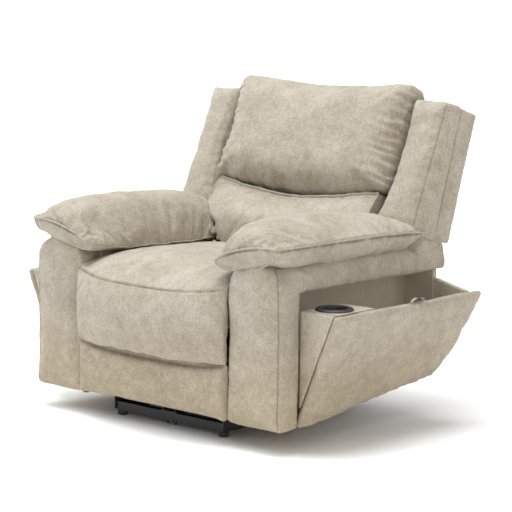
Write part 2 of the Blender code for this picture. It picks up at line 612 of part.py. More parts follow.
def make_motor(tip):
    """Linear drive: gearbox and motor on a rail, and the carriage that pulls the crank."""
    body = rail_box("lift_motor", (-0.0235, 0.0235), (-0.010, 0.118), (-0.022, 0.026))
    weld(body, rail_box("motor_can_tool", (-0.019, 0.019), (0.030, 0.110), (0.020, 0.078)))
    weld(body, rail_box("motor_rail_tool", (-0.015, 0.015), (0.100, 0.335), (-0.009, 0.009)))
    weld(body, rod("motor_pin_tool", MOTOR_PIN, PIN, (-0.031, 0.031)))
    reach = (tip[0] - MOTOR_PIN[0]) * cos(RAIL_SLOPE) + (tip[1] - MOTOR_PIN[1]) * sin(RAIL_SLOPE)
    rise = (tip[1] - MOTOR_PIN[1]) * cos(RAIL_SLOPE) - (tip[0] - MOTOR_PIN[0]) * sin(RAIL_SLOPE)
    carriage = rail_box("motor_carriage", (-0.020, 0.020), (reach - 0.020, reach + 0.020), (0.009 + GAP, 0.032))
    weld(carriage, rail_box("carriage_lug_tool", (-0.005, 0.005), (reach - 0.014, reach + 0.014), (0.025, rise + 0.015)))
    slot = capsule(on_rail(reach, rise - 0.0275), on_rail(reach, rise + 0.001), PIN + 0.0028)
    cut(carriage, along_x("carriage_slot_tool", slot, (-0.01, 0.01), STEEL))
    carried_by(axis_empty("carriage_axis", 0, *on_rail(reach, 0)), carriage)


# ---- back ------------------------------------------------------------------------------
def leaning(name, rings, look=FABRIC):
    """A solid in the back's own frame: x across, t backwards, s up along the lean."""
    obj = loft(name, rings, look)
    obj.location = (0, y_at(BACK_REF[0]), BACK_REF[1])
    obj.rotation_euler = (-BACK_LEAN, 0, 0)
    return obj


def leaning_block(name, x, t, s, look=FABRIC, side=1):
    return leaning(name, [[(side * px, pt, ps) for px, pt in rectangle(x, t)] for ps in s], look)


def in_back_frame(depth, z):
    """Depth and height turned into t and s of the leaning frame."""
    d, h = depth - BACK_REF[0], z - BACK_REF[1]
    return (d * cos(BACK_LEAN) - h * sin(BACK_LEAN), d * sin(BACK_LEAN) + h * cos(BACK_LEAN))


def make_back_frame():
    leg = PLATE_X + PLATE
    wide = WING[0] - GAP
    top = BACK_TOP - SHELL_WALL - GAP
    frame = leaning_block("back_frame", (-wide, wide), (0, FRAME_T), (WING_FOOT + 0.003, top), TIMBER)
    cut(frame, leaning_block("back_bay_tool", (-0.250, 0.250), (-0.05, 0.10), (0.150, top - 0.045), TIMBER))
    inset = 0.0004
    weld(frame, leaning_block("back_foot_tool", (-leg, leg), (inset, FRAME_T - inset), (-0.110, WING_FOOT + 0.020), TIMBER))
    span = (0.150 + GAP, top - 0.045 - GAP)

    def place(x, along, h):
        return (x, h, along)

    springs = make_springs("back_springs", (-0.15, 0.0, 0.15), 0.025, span, 5, (0.010, 0.013), place)
    lean_like(springs)
    return frame, springs


def lean_like(obj):
    """Stand a solid, and the tools that shape it, in the leaning frame."""
    pieces = [obj] + [m.object for m in obj.modifiers if m.type == "BOOLEAN"]
    for piece in pieces:
        piece.location = (0, y_at(BACK_REF[0]), BACK_REF[1])
        piece.rotation_euler = (-BACK_LEAN, 0, 0)


def make_back_brackets():
    """Steel straps that hang the back on its hinge pins."""
    pivot = in_back_frame(*BACK_AXIS)
    brackets = []
    for side in (-1, 1):
        x = (PLATE_X + PLATE + GAP, PLATE_X + 2 * PLATE + GAP)
        eye = [(pivot[0] + 0.020 * cos(a), pivot[1] + 0.020 * sin(a)) for a in (pi + i * pi / 6 for i in range(7))]
        strap = eye + [(0.036, 0.070), (0.004, 0.070), (0.004, -0.090)]
        rings = [[(side * px, t, s) for t, s in strap] for px in x]
        bracket = leaning(f"back_bracket_{label(side)}", rings, STEEL)
        stub = rod(f"back_stub_tool_{label(side)}", BACK_AXIS, PIN, (PLATE_X, x[1] - 0.001), STEEL, side)
        weld(bracket, stub)
        brackets.append(bracket)
    return brackets


def make_shell():
    """Outer back: an upholstered tray over the wings, and a narrow tail between the arms."""
    front = 0.031
    shell = leaning_block("back_shell", (-SHELL_HALF, SHELL_HALF), (front, SHELL_T), (WING_FOOT, BACK_TOP))
    hollow = (front - 0.02, SHELL_T - SHELL_WALL)
    room = SHELL_HALF - SHELL_WALL
    cut(shell, leaning_block("shell_hollow_tool", (-room, room), hollow, (WING_FOOT - 0.05, BACK_TOP - SHELL_WALL)))
    inset = 0.0004
    tail = (SHELL_T - SHELL_WALL + inset, SHELL_T - inset)
    weld(shell, leaning_block("shell_tail_tool", (0.018 - INNER, INNER - 0.018), tail, (-0.110, WING_FOOT + 0.020)))
    return shell


def make_wings():
    wings = []
    for side in (-1, 1):
        rings = []
        for s, t_in, t_out in ((WING_FOOT, -0.088, -0.040), (0.290, -0.066, -0.036), (BACK_TOP - 0.012, -0.046, -0.034)):
            section = [(WING[0], t_in), (WING[1] - 0.040, t_in + 0.012), (WING[1] - 0.010, t_out), (WING[1], t_out + 0.016),
                       (WING[1], 0.020), (WING[1] - 0.012, 0.031 - GAP), (WING[0], 0.031 - GAP)]
            rings.append([(side * x, t, s) for x, t in section])
        wings.append(soften(leaning(f"wing_{label(side)}", rings), 0.008))
    return wings


def make_back_cushions():
    head = []
    for s, half, t in ((0.175, HEAD_HALF - 0.014, -0.080), (0.215, HEAD_HALF, -0.100), (0.330, HEAD_HALF, -0.098),
                       (0.470, HEAD_HALF, -0.082), (0.552, HEAD_HALF - 0.008, -0.055)):
        head.append([(x, depth, s) for x, depth in rectangle((-half, half), (t, -GAP))])
    head_cushion = soften(leaning("head_cushion", head), 0.022, 2)
    lumbar = []
    low, high = INNER - 0.070, HEAD_HALF - 0.019
    for s, half, t, back in ((-0.050, low - 0.008, -0.168, -0.153), (0.000, low - 0.002, -0.178, -GAP),
                             (0.085, low, -0.160, -GAP), (0.120, high - 0.025, -0.140, -GAP),
                             (0.172, high, -0.105, -GAP)):
        lumbar.append([(x, depth, s) for x, depth in rectangle((-half, half), (t, back))])
    lumbar_cushion = soften(leaning("lumbar_cushion", lumbar), 0.010, 2)
    return head_cushion, lumbar_cushion


def make_back():
    pieces = [*make_back_frame(), *make_back_brackets(), make_shell(), *make_wings(), *make_back_cushions()]
    carried_by(axis_empty("back_axis", 0, *BACK_AXIS), *pieces)


# ---- switches --------------------------------------------------------------------------
def make_switches():
    """Two push buttons in a plate on the outer side of the left arm."""
    thick, button, travel = 0.008, 0.010, 0.0028
    face = OUTER + GAP
    plate = block("switch_plate", (face, face + thick), (0.022, 0.062), (0.380, 0.460), PLASTIC, -1)
    for name, z in (("recline", 0.440), ("upright", 0.400)):
        cut(plate, rod(f"{name}_hole_tool", (0.042, z), button + GAP, (face - 0.01, face + 0.02), PLASTIC, -1, 24))
        cap = rod(f"button_{name}", (0.042, z), button, (face + travel + GAP, face + thick + travel), PLASTIC, -1, 24)
        carried_by(axis_empty(f"button_axis_{name}", -face, 0.042, z), cap)


make_base()
make_motor_bracket()
make_side_plates()
make_seat()
make_rear_panel()
for hand in (1, -1):
    make_arm(hand)
    make_bin(hand)
make_leg_rest()
make_motor(make_drive())
make_back()
make_switches()
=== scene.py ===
"""Power recliner armchair in taupe brushed suede, with its two arm bins tilted open."""
import json
from math import cos, exp, hypot, pi, radians, sin

import bmesh
import bpy
import numpy as np
from mathutils import Matrix, Vector, noise
from mathutils.bvhtree import BVHTree
from mathutils.kdtree import KDTree


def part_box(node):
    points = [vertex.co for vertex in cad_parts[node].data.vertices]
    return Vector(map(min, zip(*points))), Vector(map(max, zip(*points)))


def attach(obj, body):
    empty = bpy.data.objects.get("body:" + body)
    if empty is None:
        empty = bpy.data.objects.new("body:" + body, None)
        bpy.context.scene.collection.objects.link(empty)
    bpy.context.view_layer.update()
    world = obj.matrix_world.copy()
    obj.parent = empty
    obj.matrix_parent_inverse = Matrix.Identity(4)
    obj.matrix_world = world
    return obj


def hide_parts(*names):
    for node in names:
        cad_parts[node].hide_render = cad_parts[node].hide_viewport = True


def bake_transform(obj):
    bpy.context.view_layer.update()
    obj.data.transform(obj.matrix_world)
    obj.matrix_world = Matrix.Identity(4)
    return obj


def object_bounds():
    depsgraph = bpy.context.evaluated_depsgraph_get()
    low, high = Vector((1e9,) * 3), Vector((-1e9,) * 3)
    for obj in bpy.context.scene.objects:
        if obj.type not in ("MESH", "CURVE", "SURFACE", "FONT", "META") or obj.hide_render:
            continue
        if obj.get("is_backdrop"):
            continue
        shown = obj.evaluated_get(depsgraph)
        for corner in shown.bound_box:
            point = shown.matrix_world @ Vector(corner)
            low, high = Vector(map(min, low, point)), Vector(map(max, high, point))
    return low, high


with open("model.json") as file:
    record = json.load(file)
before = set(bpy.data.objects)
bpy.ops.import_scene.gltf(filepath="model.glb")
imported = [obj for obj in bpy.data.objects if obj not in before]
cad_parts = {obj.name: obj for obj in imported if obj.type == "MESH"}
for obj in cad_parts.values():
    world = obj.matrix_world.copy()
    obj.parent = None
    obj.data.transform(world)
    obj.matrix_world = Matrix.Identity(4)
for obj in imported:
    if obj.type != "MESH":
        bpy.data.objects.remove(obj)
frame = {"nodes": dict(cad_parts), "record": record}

cad_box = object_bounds()
scene = bpy.context.scene

# ---- camera, floor and light ------------------------------
# A plain white studio floor that runs out of view, a broad soft key light in front on the
# left (left and right are as seen from the front), an even light from above, a small panel
# over the front of the chair, and a weak warm fill on the right.
ARM_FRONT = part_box("arm_front_right")[0].y     # depths are counted from the arms' front face


def place_camera():
    azimuth, elevation, roll, distance = radians(42.2363), radians(8.3039), radians(0.4528), 6.5
    target = Vector((0.0686, ARM_FRONT + 0.4, 0.5111))
    back = Vector((sin(azimuth) * cos(elevation), -cos(azimuth) * cos(elevation), sin(elevation)))
    level = Vector((cos(azimuth), sin(azimuth), 0))
    upright = back.cross(level)
    right = level * cos(roll) + upright * sin(roll)
    up = upright * cos(roll) - level * sin(roll)
    camera = bpy.data.objects.new("camera", bpy.data.cameras.new("camera"))
    scene.collection.objects.link(camera)
    turn = Matrix((right, up, back)).transposed().to_4x4()
    camera.matrix_world = Matrix.Translation(target + back * distance) @ turn
    camera.data.lens, camera.data.sensor_width = 143.3, 36      # millimetres
    scene.camera = camera


def sunlight(name, toward, strength, spread, tint):
    light = bpy.data.objects.new(name, bpy.data.lights.new(name, "SUN"))
    scene.collection.objects.link(light)
    light.data.energy = strength
    light.data.angle = radians(spread)
    light.data.color = tint
    light.rotation_euler = (-Vector(toward)).to_track_quat("-Z", "Y").to_euler()


def overhead_panel(place, target, size, power, tint):
    light = bpy.data.objects.new("overhead_panel", bpy.data.lights.new("overhead_panel", "AREA"))
    scene.collection.objects.link(light)
    light.data.energy = power
    light.data.size = size
    light.data.color = tint
    light.location = place
    light.rotation_euler = (Vector(target) - Vector(place)).to_track_quat("-Z", "Y").to_euler()


def lay_floor():
    mesh = bpy.data.meshes.new("floor")
    reach = 150
    corners = [(-reach, -reach, 0), (reach, -reach, 0), (reach, reach, 0), (-reach, reach, 0)]
    mesh.from_pydata(corners, [], [(0, 1, 2, 3)])
    floor = bpy.data.objects.new("floor", mesh)
    scene.collection.objects.link(floor)
    paint = bpy.data.materials.new("white_floor")
    paint.use_nodes = True
    shader = paint.node_tree.nodes["Principled BSDF"]
    shader.inputs["Base Color"].default_value = (0.97, 0.97, 0.97, 1)
    shader.inputs["Roughness"].default_value = 0.9
    shader.inputs["Specular IOR Level"].default_value = 0.1
    mesh.materials.append(paint)
    floor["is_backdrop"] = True


place_camera()
lay_floor()
sunlight("key_light", toward=(-0.55, -0.42, 0.92), strength=1.30, spread=45, tint=(0.95, 0.985, 1.0))
sunlight("top_light", toward=(-0.05, 0.0, 1.0), strength=2.00, spread=30, tint=(0.96, 0.985, 1.0))
sunlight("warm_fill", toward=(0.9, -0.4, 0.1), strength=0.48, spread=50, tint=(1.0, 0.80, 0.46))
overhead_panel(place=(-0.50, -0.60, 2.30), target=(0, 0, 0.75), size=1.0, power=9.0, tint=(0.92, 0.97, 1.0))
world = bpy.data.worlds.new("studio")
world.use_nodes = True
world.node_tree.nodes["Background"].inputs["Color"].default_value = (1, 1, 1, 1)
world.node_tree.nodes["Background"].inputs["Strength"].default_value = 0.64
scene.world = world
scene.view_settings.view_transform = "Standard"


# ---- arm pillows ------------------------------------------
# Each arm carries a fibre-filled pillow in brushed suede. A crowned top panel is sewn to an
# upright band at the front and outer side, and rolls down over the arm's inner face.
class Wire:
    """A shader value that can be used in Python sums."""

    def __init__(self, paint, socket):
        self.paint = paint
        self.socket = socket

    def _maths(self, operation, a, b):
        return self.paint.node("ShaderNodeMath", {"operation": operation}, {0: a, 1: b})

    def __add__(self, other):
        return self._maths("ADD", self, other)

    __radd__ = __add__

    def __mul__(self, other):
        return self._maths("MULTIPLY", self, other)

    __rmul__ = __mul__


class Paint:
    """One material, built from nodes."""

    def __init__(self, name):
        self.material = bpy.data.materials.new(name)
        self.material.use_nodes = True
        self.shader = self.material.node_tree.nodes["Principled BSDF"]

    def node(self, kind, settings, values, output=0):
        made = self.material.node_tree.nodes.new(kind)
        for key, value in settings.items():
            if key == "stops":
                ramp = made.color_ramp
                for _ in value[2:]:
                    ramp.elements.new(0.5)
                for stop, (at, colour) in zip(ramp.elements, value):
                    stop.position = at
                    stop.color = (*colour, 1)
            else:
                setattr(made, key, value)
        for key, value in values.items():
            self.feed(made.inputs[key], value)
        return Wire(self, made.outputs[output])

    def feed(self, socket, value):
        if isinstance(value, Wire):
            self.material.node_tree.links.new(value.socket, socket)
        else:
            socket.default_value = value

    def place(self, stretch=(1, 1, 1)):
        spot = self.node("ShaderNodeTexCoord", {}, {}, "Object")
        return self.node("ShaderNodeMapping", {}, {"Vector": spot, "Scale": stretch})

    def noise(self, scale, detail=3.0, rough=0.55, stretch=(1, 1, 1), warp=0.0):
        values = {"Vector": self.place(stretch), "Scale": scale, "Detail": detail, "Roughness": rough,
                  "Distortion": warp}
        return self.node("ShaderNodeTexNoise", {}, values, "Fac")

    def ramp(self, value, *stops):
        return self.node("ShaderNodeValToRGB", {"stops": stops}, {"Fac": value})

    def mix(self, share, a, b, blend="MIX"):
        made = self.material.node_tree.nodes.new("ShaderNodeMix")
        made.data_type = "RGBA"
        made.blend_type = blend
        for key, value in ((0, share), (6, a), (7, b)):
            self.feed(made.inputs[key], value if isinstance(value, Wire) or key == 0 else (*value, 1))
        return Wire(self, made.outputs[2])

    def finish(self, **sockets):
        for key, value in sockets.items():
            name = key.replace("_", " ").title().replace("Ior", "IOR")
            if isinstance(value, tuple) and len(value) == 3:
                value = (*value, 1)
            self.feed(self.shader.inputs[name], value)
        return self.material

    def bump(self, height, distance, strength=1.0):
        return self.node("ShaderNodeBump", {}, {"Height": height, "Distance": distance, "Strength": strength})


def suede(name, shade=1.0):
    """Brushed faux suede: cloudy patches, short streaks of nap, a fine grain, and creases darkened with dirt
    and painted shade.

    It is painted paler inside the storage bay, as painted light in the bay's shade, and painted a little
    warmer towards the foot of the chair, as warm light bounced up from the floor.
    """
    paint = Paint(name)
    light, middle, dark, dirt_and_shade = (tuple(shade * c for c in tone) for tone in (
        (0.500, 0.457, 0.394), (0.374, 0.330, 0.269), (0.254, 0.216, 0.164), (0.105, 0.085, 0.062)))
    bay_light_tone, warm = (0.74, 0.68, 0.59), (0.97, 0.90, 0.74)
    warm_from, warm_to = 0.38, 0.10      # heights
    clouds = paint.noise(9.0, 3.0, 0.60, warp=0.5)
    blots = paint.noise(30.0, 5.0, 0.70, warp=0.7)
    nap = paint.noise(75.0, 4.0, 0.70, stretch=(2.0, 2.0, 0.6))
    grain = paint.noise(240.0, 3.0, 0.72)
    tone = clouds * 0.18 + blots * 0.19 + nap * 0.16 + grain * 0.42
    colour = paint.ramp(tone, (0.366, dark), (0.480, middle), (0.598, light))
    # Creases and gap lines darken towards a dirty brown: partly dirt, partly painted shade in the dips and
    # gaps.
    crease = paint.node("ShaderNodeAttribute", {"attribute_name": "crease"}, {}, "Fac")
    colour = paint.mix(crease * 0.80, colour, dirt_and_shade)
    # The inside of the storage bay is painted paler: painted light where the bay lies in shade.
    unworn = paint.node("ShaderNodeAttribute", {"attribute_name": "unworn"}, {}, "Fac")
    colour = paint.mix(unworn * 0.55, colour, bay_light_tone)
    # A warm tint multiplied in towards the foot of the chair: painted warm light bounced up from the floor.
    height = paint.node("ShaderNodeSeparateXYZ", {}, {"Vector": paint.place()}, "Z")
    low = paint.node("ShaderNodeMapRange", {}, {"Value": height, "From Min": warm_from, "From Max": warm_to},
                     "Result")
    colour = paint.mix(low * 0.75, colour, warm, "MULTIPLY")
    pile = grain * 0.55 + nap * 0.35 + blots * 0.40
    return paint.finish(base_color=colour, roughness=0.80 + 0.15 * grain, sheen_weight=0.12,
                        sheen_roughness=0.45, specular_ior_level=0.22,
                        normal=paint.bump(pile, 0.0014, 0.42))


def stitched_up(name, loops, material):
    """A closed skin sewn through loops of points, capped at both ends."""
    shape = bmesh.new()
    rings = [[shape.verts.new(point) for point in loop] for loop in loops]
    for low, high in zip(rings, rings[1:]):
        for i in range(len(low)):
            j = (i + 1) % len(low)
            shape.faces.new((low[i], low[j], high[j], high[i]))
    shape.faces.new(rings[0])
    shape.faces.new(rings[-1])
    bmesh.ops.recalc_face_normals(shape, faces=shape.faces)
    mesh = bpy.data.meshes.new(name)
    shape.to_mesh(mesh)
    shape.free()
    mesh.materials.append(material)
    piece = bpy.data.objects.new(name, mesh)
    scene.collection.objects.link(piece)
    return piece


def settle(piece):
    """Turn what the modifiers make of a piece into its own mesh."""
    bpy.context.view_layer.update()
    made = bpy.data.meshes.new_from_object(piece.evaluated_get(bpy.context.evaluated_depsgraph_get()))
    piece.modifiers.clear()
    piece.data = made
    return piece


def points_of(piece):
    co = np.empty(len(piece.data.vertices) * 3)
    piece.data.vertices.foreach_get("co", co)
    return co.reshape(-1, 3)


def give_points(piece, co):
    piece.data.vertices.foreach_set("co", np.asarray(co, np.float32).ravel())
    piece.data.update()


def relaxed(piece, times, pull=0.5):
    """Let sharp folds ease out by drawing each point towards its neighbours."""
    co = points_of(piece)
    edges = np.array([e.vertices[:] for e in piece.data.edges])
    count = np.bincount(edges.ravel(), minlength=len(co))[:, None]
    for _ in range(times):
        total = np.zeros_like(co)
        np.add.at(total, edges[:, 0], co[edges[:, 1]])
        np.add.at(total, edges[:, 1], co[edges[:, 0]])
        co = co + pull * (total / count - co)
    give_points(piece, co)


def evened(piece, size, ease=3):
    """Re-cut a closed skin into even squares of cloth and ease its edges."""
    remesh = piece.modifiers.new("even squares", "REMESH")
    remesh.mode = "VOXEL"
    remesh.voxel_size = size
    material = piece.data.materials[0]
    settle(piece)
    piece.data.materials.clear()
    piece.data.materials.append(material)
    relaxed(piece, ease)


STEP = 0.003      # between the points of a sampled path


def sampled(path, step=STEP):
    """A path with points at even, close steps."""
    path = [Vector(p) for p in path]
    out = [path[0]]
    for a, b in zip(path, path[1:]):
        count = max(1, round((b - a).length / step))
        out += [a.lerp(b, i / count) for i in range(1, count + 1)]
    return out


def tree_of(points):
    tree = KDTree(len(points))
    for i, point in enumerate(points):
        tree.insert(point, i)
    tree.balance()
    return tree


def filled(piece, seams, cap, pressure=4.0, loose=0.03, hold=0.006, frames=20):
    """Stuff a cushion: cloth held along its seams is blown out by the filling, to a depth of cap."""
    start = points_of(piece)
    tree = tree_of([p for seam in seams for p in sampled(seam)])
    held = [v.index for v in piece.data.vertices if tree.find(v.co)[2] < hold]
    group = piece.vertex_groups.new(name="seams")
    group.add(held, 1.0, "REPLACE")
    cloth = piece.modifiers.new("filling", "CLOTH")
    cloth.settings.quality = 4
    cloth.settings.use_pressure = True
    cloth.settings.uniform_pressure_force = pressure
    cloth.settings.shrink_min = -loose
    cloth.settings.bending_stiffness = 0.3
    cloth.settings.vertex_group_mass = "seams"
    cloth.settings.effector_weights.gravity = 0
    cloth.collision_settings.use_collision = False
    cloth.point_cache.frame_start = 1
    cloth.point_cache.frame_end = frames
    for step in range(1, frames + 1):
        scene.frame_set(step)
    made = piece.evaluated_get(bpy.context.evaluated_depsgraph_get())
    end = np.array([v.co[:] for v in made.data.vertices])
    piece.modifiers.clear()
    piece.vertex_groups.clear()
    scene.frame_set(1)
    move = end - start
    size = np.linalg.norm(move, axis=1, keepdims=True) + 1e-9
    give_points(piece, start + move * cap * np.tanh(size / cap) / size)
    relaxed(piece, 1, 0.4)


def gathered(piece, path, spacing, depth, reach, seed=0.0, power=1.0):
    """Press the short folds that bunch up along a seam, in lines square to it."""
    line = sampled(path)
    tree = tree_of(line)
    co = points_of(piece)
    shift, least, most = 2.4, 0.25, 1.2      # how far a fold strays, and the range of the folds' heights
    for v in piece.data.vertices:
        _, index, distance = tree.find(v.co)
        if distance < 4 * reach:
            along = index * STEP
            wander = noise.noise(Vector((along * 14, seed, distance * 9))) * shift
            fold = sin(2 * pi * along / spacing + wander * 2)
            rise = abs(noise.noise(Vector((along * 22, seed + 5, 0)))) * 1.6 + least
            co[v.index] += (np.array(v.normal) * depth * fold * min(rise, most)
                            * exp(-(distance / reach) ** power))
    give_points(piece, co)


def rumpled(piece, size, depth, seed=0.0, stretch=(1, 1, 1)):
    """Uneven filling under the cloth: low, wide swells and hollows."""
    co = points_of(piece)
    for v in piece.data.vertices:
        spot = Vector((v.co.x * stretch[0] / size + seed, v.co.y * stretch[1] / size,
                       v.co.z * stretch[2] / size))
        swell = noise.noise(spot) + 0.5 * noise.noise(spot * 2.1)
        co[v.index] += np.array(v.normal) * depth * swell
    give_points(piece, co)


def fined(piece, levels=1):
    """Subdivide a skin once it has its shape, and shade it smooth."""
    if levels:
        smooth = piece.modifiers.new("fine", "SUBSURF")
        smooth.levels = smooth.render_levels = levels
        settle(piece)
    piece.data.shade_smooth()
    return piece


def seamed(piece, path, depth=0.003, reach=0.006, dirt_and_shade_share=0.8):
    """Draw a sewn line: the cloth dips into it, and the dip is marked as a crease that darkens the suede,
    part dirt and part painted shade.
    """
    tree = tree_of(sampled(path))
    co = points_of(piece)
    marks = piece.data.attributes.get("crease") or piece.data.attributes.new("crease", "FLOAT", "POINT")
    for v in piece.data.vertices:
        distance = tree.find(v.co)[2]
        if distance < 3 * reach:
            near = exp(-(distance / reach) ** 2)
            co[v.index] -= np.array(v.normal) * depth * near
            # How dark the crease is painted: dirt and painted shade.
            here = dirt_and_shade_share * exp(-(distance / (0.62 * reach)) ** 2)
            marks.data[v.index].value = max(marks.data[v.index].value, here)
    give_points(piece, co)


def mirrored(piece, name):
    """The same piece sewn for the other side of the chair."""
    mesh = piece.data.copy()
    mesh.name = name
    mesh.transform(Matrix.Scale(-1, 4, (1, 0, 0)))
    mesh.flip_normals()
    other = bpy.data.objects.new(name, mesh)
    scene.collection.objects.link(other)
    return other


def both_sides(right_piece):
    """The right side's piece and its mirror image, each with the name of its side."""
    left_piece = mirrored(right_piece, right_piece.name.replace("right", "left"))
    return (right_piece, "right"), (left_piece, "left")


def on_skin(piece, path, proud=0.0):
    """A path laid on the surface of a piece, standing proud of it by a little."""
    tree = BVHTree.FromPolygons([v.co[:] for v in piece.data.vertices],
                                [p.vertices[:] for p in piece.data.polygons])
    out = []
    for point in sampled(path, 0.006):
        spot, normal, _, _ = tree.find_nearest(point)
        out.append(spot + normal * proud)
    for _ in range(2):
        out = [out[0]] + [(a + 2 * b + c) / 4 for a, b, c in zip(out, out[1:], out[2:])] + [out[-1]]
    return out


def welt(name, path, radius, material, sides=8):
    """A covered cord: a thin round tube along a path."""
    loops = []
    for i, point in enumerate(path):
        ahead = (path[min(i + 1, len(path) - 1)] - path[max(i - 1, 0)]).normalized()
        side = ahead.orthogonal() if i == 0 else (side - ahead * side.dot(ahead))
        side = side.normalized()
        other = ahead.cross(side)
        turns = [2 * pi * k / sides for k in range(sides)]
        loops.append([point + (side * cos(a) + other * sin(a)) * radius for a in turns])
    piece = stitched_up(name, loops, material)
    piece.data.shade_smooth()
    return piece


def bezier(a, b, c, d, t):
    return a * (1 - t) ** 3 + 3 * b * t * (1 - t) ** 2 + 3 * c * t * t * (1 - t) + d * t ** 3


def stitch_tree():
    """Geometry nodes that sew a row of short thread stitches along a line."""
    tree = bpy.data.node_groups.new("top_stitches", "GeometryNodeTree")
    sockets = {}
    for name, kind, value in (("Line", "NodeSocketGeometry", None), ("Spacing", "NodeSocketFloat", 0.0065),
                              ("Length", "NodeSocketFloat", 0.0046), ("Thread", "NodeSocketFloat", 0.0006),
                              ("Material", "NodeSocketMaterial", None)):
        socket = tree.interface.new_socket(name, in_out="INPUT", socket_type=kind)
        sockets[name] = socket.identifier
        if value:
            socket.default_value = value
    tree.interface.new_socket("Stitches", in_out="OUTPUT", socket_type="NodeSocketGeometry")
    inlet, outlet = tree.nodes.new("NodeGroupInput"), tree.nodes.new("NodeGroupOutput")

    def node(kind, settings=(), **feeds):
        made = tree.nodes.new(kind)
        for key, value in settings:
            setattr(made, key, value)
        for key, value in feeds.items():
            target = made.inputs[int(key[1:])] if key[0] == "i" and key[1:].isdigit() else made.inputs[key]
            if isinstance(value, bpy.types.NodeSocket):
                tree.links.new(value, target)
            else:
                target.default_value = value
        return made

    line = node("GeometryNodeMeshToCurve", Mesh=inlet.outputs["Line"])
    even = node("GeometryNodeResampleCurve", (("mode", "LENGTH"),), Curve=line.outputs[0],
                Length=inlet.outputs["Spacing"])
    along = node("GeometryNodeInputTangent")
    turn = node("FunctionNodeAlignRotationToVector", (("axis", "Z"),), Vector=along.outputs[0])
    thread = node("GeometryNodeMeshCylinder", (("fill_type", "TRIANGLE_FAN"),), Vertices=6,
                  Radius=inlet.outputs["Thread"], Depth=inlet.outputs["Length"])
    sewn = node("GeometryNodeInstanceOnPoints", Points=even.outputs[0], Instance=thread.outputs[0],
                Rotation=turn.outputs[0])
    real = node("GeometryNodeRealizeInstances", i0=sewn.outputs[0])
    faced = node("GeometryNodeSetMaterial", i0=real.outputs[0], Material=inlet.outputs["Material"])
    tree.links.new(faced.outputs[0], outlet.inputs[0])
    return tree, sockets


def stitches(name, path, material):
    """One row of top stitches as a plain mesh."""
    mesh = bpy.data.meshes.new(name)
    mesh.from_pydata([tuple(p) for p in path], [(i, i + 1) for i in range(len(path) - 1)], [])
    row = bpy.data.objects.new(name, mesh)
    scene.collection.objects.link(row)
    sewing = row.modifiers.new("top stitches", "NODES")
    sewing.node_group = STITCHES
    sewing[STITCH_INPUTS["Material"]] = material
    settle(row)
    row.data.shade_smooth()
    return row


def sewing_thread():
    paint = Paint("sewing_thread")
    ply = paint.noise(1500.0, 2.0)
    colour = paint.mix(ply, (0.34, 0.29, 0.23), (0.46, 0.41, 0.34))
    return paint.finish(base_color=colour, roughness=0.55 + 0.2 * ply)


STITCHES, STITCH_INPUTS = stitch_tree()
THREAD = sewing_thread()
SUEDE = suede("taupe_suede")
WELT = suede("taupe_suede_welt", 0.62)
# depth, inner edge x and z, outer seam x and z, swell near the inner and outer edge, height of the lower edge
PILLOW = (
    (-0.018, 0.281, 0.560, 0.524, 0.618, 0.018, 0.012, 0.576),
    (0.006, 0.262, 0.549, 0.543, 0.621, 0.096, 0.060, 0.573),
    (0.050, 0.254, 0.540, 0.547, 0.621, 0.132, 0.090, 0.571),
    (0.150, 0.252, 0.532, 0.548, 0.621, 0.149, 0.102, 0.568),
    (0.260, 0.252, 0.529, 0.549, 0.621, 0.151, 0.103, 0.567),
    (0.430, 0.254, 0.524, 0.549, 0.621, 0.144, 0.092, 0.569),
    (0.560, 0.260, 0.524, 0.551, 0.617, 0.128, 0.074, 0.575),
    (0.635, 0.278, 0.530, 0.546, 0.611, 0.095, 0.050, 0.586),
    (0.665, 0.306, 0.552, 0.534, 0.604, 0.026, 0.014, 0.592),
)


def pillow_loop(station):
    depth, xi, zi, xo, zo, near, far, low = station
    front = station is PILLOW[0]
    top = []
    for i in range(13):
        t = i / 12
        top.append((bezier(xi, xi - 0.002, xo - 0.10, xo, t), depth - (0.004 if front else 0),
                    bezier(zi, zi + near, zo + far, zo, t)))
    under = depth + (0.016 if front else 0)
    low_x = xo - 0.016
    bottom = [(xo - 0.003, (depth + under) / 2, (zo + low) / 2), (low_x, under, low), (0.475, under, 0.572),
              (0.455, under, 0.552), (0.420, under, 0.5335), (0.345, under, 0.5335),
              ((xi + 0.330) / 2, under, min(0.5335, zi + 0.002)), (xi + 0.012, under, zi - 0.004)]
    if front:
        bottom[2:] = [(0.470, under, 0.562), (0.440, under, 0.556), (0.400, under, 0.548),
                      (0.360, under, 0.537), (0.325, under, 0.528), (0.296, under, 0.540)]
    return [(x, ARM_FRONT + d, z) for x, d, z in top + bottom]


